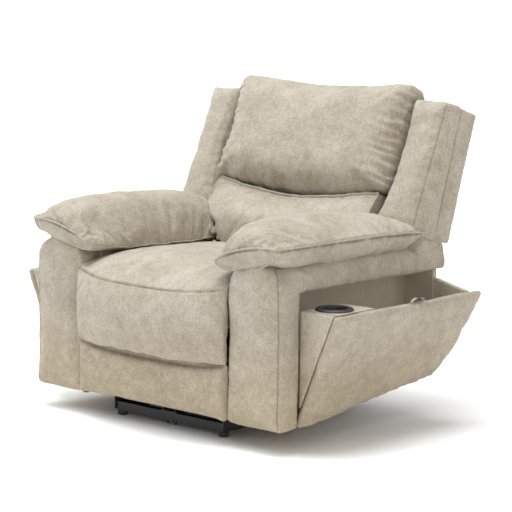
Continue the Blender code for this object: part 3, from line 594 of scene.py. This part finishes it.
def make_pillow():
    loops = [pillow_loop(s) for s in PILLOW]
    pillow = stitched_up("arm_pillow_cover_right", loops, SUEDE)
    front = [loops[0][i] for i in range(13)]
    outer = [loop[12] for loop in loops]
    inner = [loop[0] for loop in loops]
    lower = [loop[14] for loop in loops]
    lower_front = [loops[0][i] for i in range(14, 20)]
    evened(pillow, size=0.0055, ease=2)
    filled(pillow, [front, outer, inner, lower, lower_front], cap=0.026, pressure=5.0, loose=0.05, hold=0.005)
    gathered(pillow, front, spacing=0.030, depth=0.0040, reach=0.030, seed=1.0)
    gathered(pillow, outer, spacing=0.046, depth=0.0024, reach=0.026, seed=2.0)
    gathered(pillow, inner, spacing=0.042, depth=0.0030, reach=0.034, seed=3.0)
    gathered(pillow, [inner[-1], outer[-1]], spacing=0.040, depth=0.0040, reach=0.040, seed=3.5)
    rumpled(pillow, 0.13, 0.0050, 4.0)
    rumpled(pillow, 0.045, 0.0014, 4.5)
    fined(pillow)
    edge = front + outer[1:]
    dropped = [(x, y, z - 0.0060) for x, y, z in edge]
    raised = [(x, y + 0.004, z + 0.0045) for x, y, z in edge]
    # Darkened seam lines around the flange and along the pillow's lower front edge: dirt and painted shade in
    # the dips.
    seamed(pillow, dropped, 0.0036, 0.0060, 1.0)
    seamed(pillow, raised, 0.0012, 0.0036, 0.65)
    seamed(pillow, lower_front + [lower[0]], 0.0020, 0.0050, 0.55)
    flange = welt("arm_pillow_welt_right", on_skin(pillow, edge, 0.0016), 0.0030, SUEDE)
    lip = welt("arm_pillow_lip_right", on_skin(pillow, inner, 0.0012), 0.0030, SUEDE)
    row = [(x, y, z + 0.010) for x, y, z in edge]
    sewn = stitches("arm_pillow_stitches_right", on_skin(pillow, row, 0.0002), THREAD)
    return pillow, flange, lip, sewn


for right_piece in make_pillow():
    for piece, side in both_sides(right_piece):
        if "cover" in piece.name:
            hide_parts(f"arm_pillow_{side}")
        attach(piece, "chair_base")


# ---- seat and leg rest cover ------------------------------
# One length of suede over the foam seat, sewn across the front edge and carried on down over
# the leg rest's upper pad.
SEAT_HALF = 0.3192


def seat_loop(x):
    share = abs(x) / SEAT_HALF
    bow = 1 - share ** 3.0
    seam_d, seam_z = -0.008 - 0.052 * bow, 0.479 - 0.020 * bow
    crown = 0.5 * bow
    over = [(0.600, 0.400), (0.600, 0.480 + 0.010 * crown), (0.585, 0.494 + 0.012 * crown),
            (0.500, 0.496 + 0.022 * crown), (0.380, 0.498 + 0.034 * crown),
            (0.260, 0.499 + 0.040 * crown), (0.140, 0.498 + 0.036 * crown),
            (0.060, 0.494 + 0.028 * crown), (0.018 - 0.030 * bow, 0.489 + 0.012 * crown),
            (seam_d + 0.010, seam_z + 0.010)]
    seam = [(seam_d, seam_z)]
    face = [(seam_d - 0.003, seam_z - 0.014), (-0.014 - 0.048 * bow, 0.425), (-0.016 - 0.049 * bow, 0.380),
            (-0.016 - 0.047 * bow, 0.330), (-0.014 - 0.043 * bow, 0.286),
            (-0.010 - 0.038 * bow, 0.257 - 0.014 * bow), (-0.002 - 0.024 * bow, 0.245 - 0.019 * bow),
            (0.0085, 0.250)]
    under = [(0.0085, 0.350), (0.0085, 0.440), (0.012, 0.459), (0.035, 0.462), (0.085, 0.440),
             (0.110, 0.4005)]
    return [(x, ARM_FRONT + d, z) for d, z in over + seam + face + under]


def make_seat_cover():
    stations = [SEAT_HALF * sin(radians(a)) for a in range(-90, 91, 9)]
    loops = [seat_loop(x) for x in stations]
    cover = stitched_up("seat_and_leg_rest_cover", loops, SUEDE)
    seam = [loop[10] for loop in loops]
    hem = [loop[18] for loop in loops]
    back = [loop[1] for loop in loops]
    ends = [loop[1:18] for loop in (loops[0], loops[-1])]
    evened(cover, size=0.0079, ease=1)
    filled(cover, [seam, hem, back, *ends, [loop[-1] for loop in loops], [loop[-4] for loop in loops]],
           cap=0.022, pressure=4.0, loose=0.03, hold=0.007)
    gathered(cover, seam, spacing=0.075, depth=0.0024, reach=0.034, seed=7.0)
    gathered(cover, ends[0], spacing=0.060, depth=0.0016, reach=0.030, seed=7.3)
    gathered(cover, ends[1], spacing=0.060, depth=0.0016, reach=0.030, seed=7.6)
    rumpled(cover, 0.20, 0.0045, 8.0)
    rumpled(cover, 0.05, 0.0012, 8.5)
    fined(cover)
    # Darkened lines: dirt and painted shade in the front seam, and painted shade along the hem where the pad
    # bulges over the apron.
    seamed(cover, seam, 0.0045, 0.0065, 0.95)
    seamed(cover, [(x, y + 0.002, z + 0.002) for x, y, z in hem], 0.0030, 0.0080, 0.9)
    row = [(x, y - 0.004, z - 0.010) for x, y, z in seam[1:-1]]
    line = stitches("seat_front_stitches", on_skin(cover, row, 0.0002), THREAD)
    return cover, line


seat_cover, seat_seam = make_seat_cover()
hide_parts("seat_cushion", "leg_rest_pad")
for piece in (seat_cover, seat_seam):
    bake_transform(piece)


# ---- leg rest apron ---------------------------------------
# The lower pad of the leg rest: thin foam on the board, in the same suede, tucked under the
# bulge of the upper pad.
def domed(name, outline, rings, place, material):
    """A padded panel: its outline drawn in towards the middle while it rises."""
    middle = (sum(a for a, _ in outline) / len(outline), sum(b for _, b in outline) / len(outline))
    loops = []
    for inset, rise in rings:
        loop = []
        for a, b in outline:
            span = hypot(a - middle[0], b - middle[1])
            keep = max(1 - inset / span, 0.02)
            loop.append(place(middle[0] + (a - middle[0]) * keep, middle[1] + (b - middle[1]) * keep, rise))
        loops.append(loop)
    return stitched_up(name, loops, material)


def rounded(corners, count=6):
    """A closed outline from corners (a, b, radius)."""
    out = []
    total = len(corners)
    for i, (a, b, radius) in enumerate(corners):
        here = Vector((a, b))
        before = (Vector(corners[i - 1][:2]) - here).normalized()
        after = (Vector(corners[(i + 1) % total][:2]) - here).normalized()
        start, end = here + before * radius, here + after * radius
        for k in range(count + 1):
            t = k / count
            spot = start * (1 - t) ** 2 + here * 2 * t * (1 - t) + end * t * t
            out.append((spot.x, spot.y))
    return out


def between(outline, step=0.02):
    """The outline again with points close together, so that straight sides can swell."""
    out = []
    for (a, b), (c, d) in zip(outline, outline[1:] + outline[:1]):
        count = max(1, round(hypot(c - a, d - b) / step))
        out += [(a + (c - a) * i / count, b + (d - b) * i / count) for i in range(count)]
    return out


def make_apron():
    low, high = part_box("leg_rest_apron")
    wide, foot = SEAT_HALF - 0.0005, low.z - 0.004
    outline = between(rounded([(-wide, foot, 0.009), (wide, foot, 0.009),
                               (wide, high.z, 0.006), (-wide, high.z, 0.006)]))
    rings = [(0.0, high.y), (0.0, low.y + 0.008), (0.003, low.y + 0.002), (0.012, low.y - 0.001)]
    apron = domed("leg_rest_apron_cover", outline, rings, lambda a, b, h: (a, h, b), SUEDE)
    evened(apron, size=0.006, ease=1)
    filled(apron, [[(a, high.y, b) for a, b in outline]], cap=0.008, pressure=3.0, loose=0.02)
    rumpled(apron, 0.10, 0.0030, 11.0)
    fined(apron)
    hem = [seat_loop(x)[17] for x in (wide * i / 20 for i in range(-20, 21))]
    # A darkened line where the apron tucks under the pad's hem: painted shade.
    seamed(apron, [(x, low.y - 0.001, z) for x, y, z in hem], 0.0030, 0.0100, 0.9)
    return apron


apron = make_apron()
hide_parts("leg_rest_apron")
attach(apron, "leg_rest")


# ---- arm covers -------------------------------------------
# One fitted cover on each arm: a foam-padded front column with a domed top, running back over
# the storage bay as a padded band and rising to a hump behind the pillow.
def joined(name, pieces):
    """Several closed skins as one piece."""
    shape = bmesh.new()
    for piece in pieces:
        shape.from_mesh(piece.data)
        material = piece.data.materials[0]
        bpy.data.objects.remove(piece)
    mesh = bpy.data.meshes.new(name)
    shape.to_mesh(mesh)
    shape.free()
    mesh.materials.append(material)
    whole = bpy.data.objects.new(name, mesh)
    scene.collection.objects.link(whole)
    return whole


BIN_CLEAR = 0.468      # the cover stays above this height over the closed bin


def make_arm_cover():
    low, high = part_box("arm_front_right")
    roll_low, roll_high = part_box("arm_roll_right")
    dome = [(low.x, low.z - 0.005, 0.008), (high.x + 0.002, low.z - 0.005, 0.010),
            (high.x + 0.003, 0.460, 0.020), (0.528, 0.512, 0.020), (0.506, 0.542, 0.020),
            (0.458, 0.562, 0.030), (0.400, 0.558, 0.030), (low.x + 0.014, 0.540, 0.022),
            (low.x, 0.490, 0.022)]
    outline = between(rounded(dome, 4), 0.012)
    rings = [(0.0, high.y), (0.0, low.y + 0.018), (0.0015, low.y + 0.008), (0.008, low.y + 0.001),
             (0.026, low.y - 0.0035)]

    def inner_kept(a, b, h):
        """Keep the edge beside the seat crisp, where the cover is pulled tight."""
        span = a - low.x
        share = min(1.0, 0.3 + max(0.0, b - 0.455) / 0.040)
        return (low.x - 0.0022 + (share * span if span < 0.03 else span), h, b)

    column = domed("arm_column", outline, rings, inner_kept, SUEDE)
    loops = []
    for depth, top in ((0.050, 0.556), (0.100, 0.570), (0.300, 0.571), (0.500, 0.571), (0.630, 0.573),
                       (0.655, 0.595), (0.690, 0.613), (0.730, 0.608), (0.762, 0.599), (0.786, 0.588),
                       (0.788, 0.584)):
        back = 1.0 if depth < 0.78 else 0.6
        section = rounded([(roll_low.x, roll_low.z + 0.001, 0.003),
                           (roll_high.x - 0.001, roll_low.z + 0.001, 0.012), (roll_high.x, 0.500, 0.020),
                           (0.520, top - 0.022, 0.020 * back), (0.492, top, 0.020 * back),
                           (roll_low.x, top, 0.003)], 4)
        loops.append([(x, ARM_FRONT + depth, z) for x, z in section])
    band = stitched_up("arm_band", loops, SUEDE)
    end = loops[-2]
    near, far, foot, rise = low.x + 0.001, roll_low.x + 0.018, 0.530, []
    for depth, top in ((0.660, 0.596), (0.690, 0.611), (0.730, 0.606), (0.762, 0.597), (0.786, 0.586)):
        section = ((near, foot), (far, foot), (far, top), (low.x + 0.02, top), (near, top - 0.02))
        rise.append([(x, ARM_FRONT + depth, z) for x, z in section])
    hump = stitched_up("arm_hump", rise, SUEDE)
    cover = joined("arm_cover_right", (column, band, hump))
    evened(cover, size=0.0056, ease=2)
    seam = [(a, low.y + 0.012, b) for a, b in outline]
    rear = [(a, high.y, b) for a, b in outline]
    lower = [(high.x, ARM_FRONT + d, roll_low.z + 0.001) for d in (0.088, 0.784)]
    filled(cover, [seam, rear, lower, end, [rise[0][0], rise[-1][0]]], cap=0.010, pressure=4.0, loose=0.02,
           hold=0.006)
    gathered(cover, lower, spacing=0.055, depth=0.0028, reach=0.055, seed=21.0)
    gathered(cover, [(0.529, ARM_FRONT + d, 0.545) for d in (0.10, 0.72)], spacing=0.070, depth=0.0026,
             reach=0.050, seed=21.5)
    gathered(cover, [p for p in seam if p[2] > 0.46], spacing=0.030, depth=0.0018, reach=0.022, seed=21.8)
    rumpled(cover, 0.12, 0.0034, 22.0, (1, 1.3, 0.6))
    rumpled(cover, 0.045, 0.0010, 22.5)
    fined(cover)
    clear_of_bin(cover, high.y)
    side = [(high.x - 0.008, low.y - 0.002, z) for z in (0.082, 0.20, 0.30, 0.40, 0.470)]
    turn = [(0.515, low.y + 0.004, 0.505), (0.503, low.y + 0.014, 0.533), (0.480, low.y + 0.028, 0.556)]
    # Darkened lines: dirt and painted shade in the seam down the column's side, and a line with no dip that
    # is painted shade alone, in the gap behind the column.
    seamed(cover, on_skin(cover, side + turn), 0.0022, 0.0042, 0.75)
    seamed(cover, [(high.x - 0.001, ARM_FRONT + 0.0845, z) for z in (0.080, 0.450)], 0.0, 0.0045, 0.5)
    sewn = stitches("arm_cover_stitches_right",
                    on_skin(cover, [(x, y + 0.006, z) for x, y, z in side + turn], 0.0002), THREAD)
    return cover, sewn


def clear_of_bin(cover, rear):
    """Keep the column's rear face and the band's lower lip flat on their boards, clear of the bin."""
    co = points_of(cover)
    face = (co[:, 2] < BIN_CLEAR + 0.002) & (co[:, 1] > rear) & (co[:, 1] < rear + 0.016)
    co[face, 1] = rear
    lip = co[:, 1] > rear + 0.016
    co[lip, 2] = np.maximum(co[lip, 2], BIN_CLEAR)
    give_points(cover, co)


def press_for_switch(cover):
    """Draw the cloth tight where the switch plate is screwed down on it."""
    low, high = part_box("switch_plate")
    co = points_of(cover)
    margin, blend, thick = 0.004, 0.016, 0.030
    along = np.maximum(low.y - co[:, 1], co[:, 1] - high.y)
    upward = np.maximum(low.z - co[:, 2], co[:, 2] - high.z)
    flat = np.clip(1 - (np.maximum(along, upward) - margin) / blend, 0, 1) * (co[:, 0] < low.x + thick)
    co[:, 0] += flat * np.maximum(high.x + 0.0003 - co[:, 0], 0)
    give_points(cover, co)


for right_piece in make_arm_cover():
    left_piece = mirrored(right_piece, right_piece.name.replace("right", "left"))
    if "stitches" not in left_piece.name:
        press_for_switch(left_piece)
    for piece, side in ((right_piece, "right"), (left_piece, "left")):
        if "stitches" not in piece.name:
            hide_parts(f"arm_front_{side}", f"arm_roll_{side}")
        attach(piece, "chair_base")


# ---- back: head cushion -----------------------------------
# A deep fibre-filled head cushion, slip-covered over the back frame, with its side seams
# gathered down both edges.
LEAN = radians(19)
REF = (0.682, 0.520)     # depth and height of the back frame's foot, where leant() counts from
HEAD_HALF = 0.368
RAIL = 0.493             # up the lean, where the cushion starts to roll over the frame's top rail


def leant(x, t, s):
    """A point of the leaning back: across, backwards from the frame's front, up the lean."""
    return (x, ARM_FRONT + REF[0] + t * cos(LEAN) + s * sin(LEAN), REF[1] - t * sin(LEAN) + s * cos(LEAN))


def head_foot(x):
    return 0.142 + 0.046 * min(1.0, abs(x) / 0.345) ** 1.8


def make_head_cushion():
    half, top = HEAD_HALF, 0.551
    foot_radius, top_radius = 0.026, 0.034
    corners = rounded([(half, head_foot(half), foot_radius), (half, top, top_radius),
                       (-half, top, top_radius), (-half, head_foot(half), foot_radius)], 8)
    foot = [(x, head_foot(x)) for x in (i / 12 * (half - 0.03) for i in range(-12, 13))]
    outline = between(corners + foot[1:-1], 0.02)

    def edge(s):
        return -0.066 + 0.026 * (s - 0.18) / 0.36

    def bulge(x, s, depth):
        return leant(x, edge(s) - depth, s)

    rings = [(0.0, None), (0.0, -0.020), (0.0, 0.0), (0.010, 0.012), (0.030, 0.024), (0.070, 0.036),
             (0.120, 0.042), (0.160, 0.044)]
    loops = []
    middle = (0.0, 0.36)
    for inset, depth in rings:
        loop = []
        for a, b in outline:
            span = hypot(a - middle[0], b - middle[1])
            keep = max(1 - inset / span, 0.05)
            x, s = middle[0] + (a - middle[0]) * keep, middle[1] + (b - middle[1]) * keep
            over = 0.034 * min(1.0, max(0.0, (s - RAIL) / 0.012))
            loop.append(leant(x, over - 0.0006, s) if depth is None else bulge(x, s, depth))
        loops.append(loop)
    cushion = stitched_up("head_cushion_cover", loops, SUEDE)
    rear = loops[0]
    evened(cushion, size=0.0068, ease=2)
    filled(cushion, [rear + rear[:1]], cap=0.024, pressure=4.0, loose=0.03, hold=0.008)
    for hand in (1, -1):
        side = [leant(hand * (half - 0.002), edge(s) - 0.006, s) for s in (0.20, 0.32, 0.44, 0.52)]
        gathered(cushion, side, spacing=0.030, depth=0.0105, reach=0.046, seed=31.0 + hand, power=1.3)
    gathered(cushion, [leant(x, edge(top) + 0.010, top) for x in (-half, half)], spacing=0.060, depth=0.0022,
             reach=0.040, seed=34.0)
    low_edge = [leant(x, edge(0.2) - 0.014, head_foot(x)) for x in (i / 6 * half for i in range(-6, 7))]
    gathered(cushion, low_edge, spacing=0.055, depth=0.0026, reach=0.040, seed=35.0)
    rumpled(cushion, 0.16, 0.0055, 33.0)
    rumpled(cushion, 0.05, 0.0015, 33.5)
    return fined(cushion)


head_cover = make_head_cushion()
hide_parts("head_cushion")
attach(head_cover, "back")


# ---- back: lumbar cushion ---------------------------------
# The firmer lower cushion, with a piped top edge that dips in the middle, running down
# behind the seat.
LUMBAR_FOOT = -0.076     # up the lean


def make_lumbar():
    def height(x, b):
        """Up the lean, at a share b of the way from the foot to the piping."""
        return LUMBAR_FOOT + (head_foot(x) - 0.003 - LUMBAR_FOOT) * b

    loops = []
    low_half, high_half = 0.247, 0.346
    for step in range(15):
        b = step / 14
        half = low_half + (high_half - low_half) * min(1.0, max(0.0, (b - 0.36) / 0.28)) ** 0.8
        front = -0.150 - 0.020 * sin(pi * min(1, b * 1.5)) + 0.070 * max(0, b - 0.45) / 0.55
        loop = []
        for i in range(21):
            a = -1 + 2 * i / 20
            x = half * a
            loop.append(leant(x, front + 0.030 * abs(a) ** 3 * (1 - 0.6 * b), height(x, b)))
        for i in range(21):
            a = 1 - 2 * i / 20
            x = max(half, 0.316 if b > 0.08 else half) * a
            s = height(x, b)
            loop.append(leant(x, -0.0006 if s > -0.004 else -0.138, s))
        loops.append(loop)
    cushion = stitched_up("lumbar_cushion_cover", loops, SUEDE)
    piping = loops[-1][:21]
    sides = [[loop[0] for loop in loops], [loop[20] for loop in loops]]
    evened(cushion, size=0.0068, ease=2)
    filled(cushion, [piping, *sides, loops[0][:21], loops[-1][21:]], cap=0.020, pressure=4.0, loose=0.02,
           hold=0.008)
    gathered(cushion, piping, spacing=0.060, depth=0.0020, reach=0.034, seed=37.0)
    rumpled(cushion, 0.18, 0.0040, 36.0)
    rumpled(cushion, 0.05, 0.0012, 36.5)
    fined(cushion)
    path = sides[0][9:-1] + piping + sides[1][9:][::-1][1:]
    # A darkened line under the piping: dirt and painted shade where the cushion dips below it.
    seamed(cushion, [Vector(p) + Vector((0, 0, -0.008)) for p in piping], 0.0025, 0.0050, 0.6)
    cord = welt("lumbar_welt", on_skin(cushion, path, 0.0022), 0.0040, SUEDE)
    return cushion, cord


for piece in make_lumbar():
    if "cover" in piece.name:
        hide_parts("lumbar_cushion")
    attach(piece, "back")


# ---- back: wings ------------------------------------------
# Padded side wings of the back in the same suede, flat-topped, each with one top-stitched
# seam down near its outer edge. They are widest at the foot and tucked in behind the shell.
def make_wing():
    loops = []
    top = 0.503
    for s, lift in ((0.064, 0.0), (0.10, 0.0), (0.14, 0.0), (0.25, 0.0), (0.36, 0.0), (0.45, 0.0),
                    (0.490, 0.001), (top, 0.006)):
        share = (s - 0.095) / 0.40
        near, far = -0.088 + 0.042 * share + lift, -0.054 + 0.022 * share + lift
        inner = 0.3795 - 0.018 * min(1.0, max(0.0, (0.24 - s) / 0.14))      # wider towards the foot
        outer = 0.519 - lift * 0.6 + 0.008 * min(1.0, max(0.0, (0.42 - s) / 0.30))
        outline = rounded([(inner, near, 0.014), (0.450, near + 0.006, 0.02), (outer, far - 0.018, 0.038),
                           (outer + 0.002, 0.024, 0.008), (outer - 0.014, 0.036, 0.004),
                           (outer - 0.015, 0.052, 0.003), (inner, 0.052, 0.003)], 5)
        loops.append([leant(x, t, s) for x, t in outline])
    wing = stitched_up("wing_cover_right", loops, SUEDE)

    def seam_at(s, behind=0.0):
        x, y, z = leant(0.503, -0.062 + 0.030 * (s - 0.095) / 0.4, s)
        return x, y + behind, z

    seam = [seam_at(s) for s in (0.07, 0.20, 0.35, 0.490)] + [leant(0.500, -0.004, 0.503)]
    rear = [leant(0.515, 0.030, s) for s in (0.064, top)]
    tucked = [[loop[i] for loop in loops] for i in (-1, -7, -13)]
    evened(wing, size=0.0055, ease=2)
    filled(wing, [seam, *tucked, rear], cap=0.010, pressure=4.0, loose=0.02, hold=0.005)
    gathered(wing, seam, spacing=0.026, depth=0.0024, reach=0.018, seed=41.0)
    gathered(wing, [leant(0.386, -0.080, s) for s in (0.10, 0.49)], spacing=0.040, depth=0.0022, reach=0.030,
             seed=41.5)
    rumpled(wing, 0.10, 0.0042, 42.0)
    rumpled(wing, 0.04, 0.0010, 42.5)
    fined(wing)
    # Darkened lines: dirt and painted shade in the top-stitched seam, and painted shade alone along the rear
    # edge where the wing tucks in behind the shell.
    seamed(wing, on_skin(wing, seam), 0.0022, 0.0040, 0.6)
    seamed(wing, rear, 0.0, 0.0080, 0.9)
    row = [seam_at(s, 0.006) for s in (0.08, 0.25, 0.40, 0.48)]
    sewn = stitches("wing_stitches_right", on_skin(wing, row, 0.0002), THREAD)
    return wing, sewn


for right_piece in make_wing():
    for piece, side in both_sides(right_piece):
        if "cover" in piece.name:
            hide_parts(f"wing_{side}")
        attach(piece, "back")


# ---- back: outer shell ------------------------------------
# The outer back: board and thin foam in suede, wrapped round behind the wings, with a narrow
# tail that drops between the arms.
def softened_copy(node, name, voxel, ease, material):
    """A CAD solid's shape with its edges eased as cloth over board eases them."""
    mesh = frame["nodes"][node].data.copy()
    piece = bpy.data.objects.new(name, mesh)
    scene.collection.objects.link(piece)
    shape = bmesh.new()
    shape.from_mesh(mesh)
    bmesh.ops.remove_doubles(shape, verts=shape.verts, dist=0.0001)
    shape.to_mesh(mesh)
    shape.free()
    mesh.materials.clear()
    mesh.materials.append(material)
    evened(piece, voxel, ease)
    return piece


shell = softened_copy("back_shell", "back_shell_cover", 0.0066, ease=3, material=SUEDE)
SHELL_WRAP = 1.010       # the cloth's thickness at the sides, as a share of the width
SHELL_DROP = 0.018       # how far its side edges hang below the board
TAIL_HALF = 0.322        # the narrow tail doesn't hang
skin = points_of(shell) * (SHELL_WRAP, 1, 1)
up_lean = (skin[:, 1] - ARM_FRONT - REF[0]) * sin(LEAN) + (skin[:, 2] - REF[1]) * cos(LEAN)
drop = SHELL_DROP * np.clip((0.14 - up_lean) / 0.04, 0, 1) * (np.abs(skin[:, 0]) > TAIL_HALF)
give_points(shell, skin - drop[:, None] * (0, sin(LEAN), cos(LEAN)))
rumpled(shell, 0.22, 0.0034, 51.0)
rumpled(shell, 0.05, 0.0010, 51.5)
fined(shell, 0)
# Dark lines with no dip where the wings tuck in behind the shell: painted shade.
for hand in (1, -1):
    seamed(shell, [leant(hand * 0.519, 0.038, s) for s in (0.10, 0.495)], 0.0, 0.0080, 0.9)
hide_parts("back_shell")
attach(shell, "back")

rear = softened_copy("rear_panel", "rear_panel_cover", 0.006, ease=3, material=SUEDE)
rumpled(rear, 0.15, 0.0015, 52.0)
fined(rear, 0)
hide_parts("rear_panel")
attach(rear, "chair_base")


# ---- storage bins -----------------------------------------
# Each bin hangs on a pin along its foot and tilts out: an upholstered front, boarded ends
# and inner wall in plain lining, and a small shelf for the cup holder.
# The lining is the suede painted 1.18 times paler: painted light where the inside of the bin lies in shade.
LINING = suede("lining_cloth", 1.18)
BIN_TILT = radians(23.4)     # how far the bins stand open
SLEEVES = []                 # take the moulded plastic's finish below


def make_bin_front():
    front = softened_copy("bin_front_right", "bin_front_cover_right", 0.0068, ease=1, material=SUEDE)
    co = points_of(front)
    low, high = co.min(axis=0), co.max(axis=0)
    out = co @ np.array(Vector((cos(BIN_TILT), 0, -sin(BIN_TILT))))
    rim = ((co[:, 1] < low[1] + 0.008) | (co[:, 1] > high[1] - 0.008)
           | (co[:, 2] > high[2] - 0.010) | (co[:, 2] < low[2] + 0.012))
    face = [tuple(p) for p in co[(out > out.max() - 0.004) & rim]]
    inside = [tuple(p) for p in co[out < out.min() + 0.006]]
    filled(front, [[point] for point in face + inside], cap=0.008, pressure=4.0, loose=0.02, hold=0.004)
    rumpled(front, 0.14, 0.0030, 61.0)
    rumpled(front, 0.045, 0.0010, 61.5)
    return fined(front)


WEDGE_RISE = 0.030       # how far the rear end of the tray rises towards the arm


def make_tray():
    tray = softened_copy("bin_tray_right", "bin_tray_cover_right", 0.0042, ease=1, material=LINING)
    low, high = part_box("bin_tray_right")
    co = points_of(tray)
    rear_end = np.clip((co[:, 1] - (high.y - 0.030)) / 0.006, 0, 1)
    upper_edge = np.clip((co[:, 2] - (high.z - 0.030)) / 0.020, 0, 1)
    co[:, 2] += WEDGE_RISE * (rear_end * upper_edge) * np.clip((high.x - co[:, 0]) / (high.x - low.x), 0, 1)
    give_points(tray, co)
    rumpled(tray, 0.10, 0.0008, 62.0)
    return fined(tray, 0)


BAY_FOOT, BAY_TOP = 0.250, 0.490     # heights between which the inside of the bay is painted paler, as painted light in its shade


def make_carcass():
    carcass = softened_copy("arm_shell_right", "arm_shell_cover_right", 0.0060, ease=1, material=SUEDE)
    rumpled(carcass, 0.14, 0.0008, 63.0)
    low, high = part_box("arm_shell_right")
    # Mark the inside of the bay, clear of its edges, to be painted paler: painted light in the bay's shade.
    marks = carcass.data.attributes.new("unworn", "FLOAT", "POINT")
    margin, blend = 0.012, 0.006
    for v in carcass.data.vertices:
        edge = min(v.co.x - low.x, v.co.y - low.y, high.y - v.co.y, v.co.z - BAY_FOOT, BAY_TOP - v.co.z)
        marks.data[v.index].value = min(1.0, max(0.0, (edge - margin) / blend))
    return fined(carcass, 0)


def make_pull():
    """A strap of suede sewn into the top edge as a low loop, with a moulded sleeve in its middle."""
    low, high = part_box("bin_pull_right")
    middle = (low + high) / 2
    half_length, rise, half_width, half_thick, steps = 0.030, 0.013, 0.005, 0.0011, 14
    arch = [Vector((middle.x, middle.y + half_length * cos(a), low.z + 0.001 + rise * sin(a)))
            for a in (pi * i / steps for i in range(steps + 1))]
    loops = []
    for i, point in enumerate(arch):
        ahead = (arch[min(i + 1, steps)] - arch[max(i - 1, 0)]).normalized()
        up = Vector((1, 0, 0)).cross(ahead)
        loops.append([point + Vector((a * half_width, 0, 0)) + up * (b * half_thick)
                      for a, b in ((-1, -1), (1, -1), (1, 1), (-1, 1))])
    strap = stitched_up("bin_pull_strap_right", loops, SUEDE)
    middle_three = range(steps // 2 - 1, steps // 2 + 2)
    around = [[point + (point - arch[i]) * 0.55 for point in loops[i]] for i in middle_three]
    sleeve = stitched_up("bin_pull_sleeve_right", around, WELT)
    for piece, width in ((strap, 0.0008), (sleeve, 0.0012)):
        soft = piece.modifiers.new("soft edge", "BEVEL")
        soft.width = width
        soft.segments = 2
        settle(piece)
    return strap, sleeve


for right_piece in make_pull():
    for piece, side in both_sides(right_piece):
        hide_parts(f"bin_pull_{side}")
        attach(piece, f"bin_{side}")
        "black_plastic" if "sleeve" in piece.name else "taupe_suede"
        if "sleeve" in piece.name:
            SLEEVES.append(piece)


for make, node, body in ((make_bin_front, "bin_front", "bin"), (make_tray, "bin_tray", "bin"),
                         (make_carcass, "arm_shell", "chair_base")):
    right_piece = make()
    for piece, side in both_sides(right_piece):
        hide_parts(f"{node}_{side}")
        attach(piece, body if body == "chair_base" else f"bin_{side}")


# ---- what stays as it was cut -----------------------------
# Boards, steel and moulded parts keep the shape that they were cut or moulded to, and only
# take their finish. Two boards are wrapped in the chair's own cloth.
def black_plastic():
    paint = Paint("black_plastic")
    texture = paint.noise(900.0, 2.0)
    return paint.finish(base_color=(0.022, 0.022, 0.024), roughness=0.42 + 0.16 * texture,
                        normal=paint.bump(texture, 0.0002, 0.5))


def black_enamel():
    paint = Paint("black_enamel")
    ripple = paint.noise(260.0, 2.0)
    dust = paint.noise(30.0, 4.0)
    colour = paint.mix(dust * 0.25, (0.020, 0.020, 0.022), (0.090, 0.086, 0.080))
    return paint.finish(base_color=colour, roughness=0.30 + 0.25 * dust, metallic=0.4,
                        normal=paint.bump(ripple, 0.0002, 0.4))


def zinc():
    paint = Paint("zinc_steel")
    cloud = paint.noise(90.0, 3.0)
    colour = paint.mix(cloud, (0.42, 0.42, 0.41), (0.66, 0.66, 0.64))
    return paint.finish(base_color=colour, roughness=0.28 + 0.2 * cloud, metallic=1.0)


def timber():
    paint = Paint("raw_timber")
    growth = paint.noise(26.0, 4.0, 0.6, stretch=(0.25, 3.0, 3.0), warp=0.5)
    pores = paint.noise(320.0, 2.0, 0.6, stretch=(0.15, 1, 1))
    colour = paint.ramp(growth * 0.75 + pores * 0.25, (0.35, (0.36, 0.22, 0.11)), (0.65, (0.66, 0.48, 0.29)))
    return paint.finish(base_color=colour, roughness=0.70 + 0.1 * pores,
                        normal=paint.bump(pores, 0.0003, 0.5))


WRAPPED = ("leg_rest_board", "back_frame")
FINISHES = {"taupe_suede": SUEDE, "lining_cloth": LINING, "timber": timber(), "black_steel": black_enamel(),
            "zinc_steel": zinc(), "black_plastic": black_plastic()}
for piece in SLEEVES:
    piece.data.materials.clear()
    piece.data.materials.append(FINISHES["black_plastic"])
for part in frame["record"]["subparts"]:
    node = frame["nodes"][part["node"]]
    node.data.materials.clear()
    node.data.materials.append(FINISHES["taupe_suede" if part["node"] in WRAPPED else part["material_slot"]])

[[list(map(float, corner)) for corner in box] for box in (cad_box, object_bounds())]
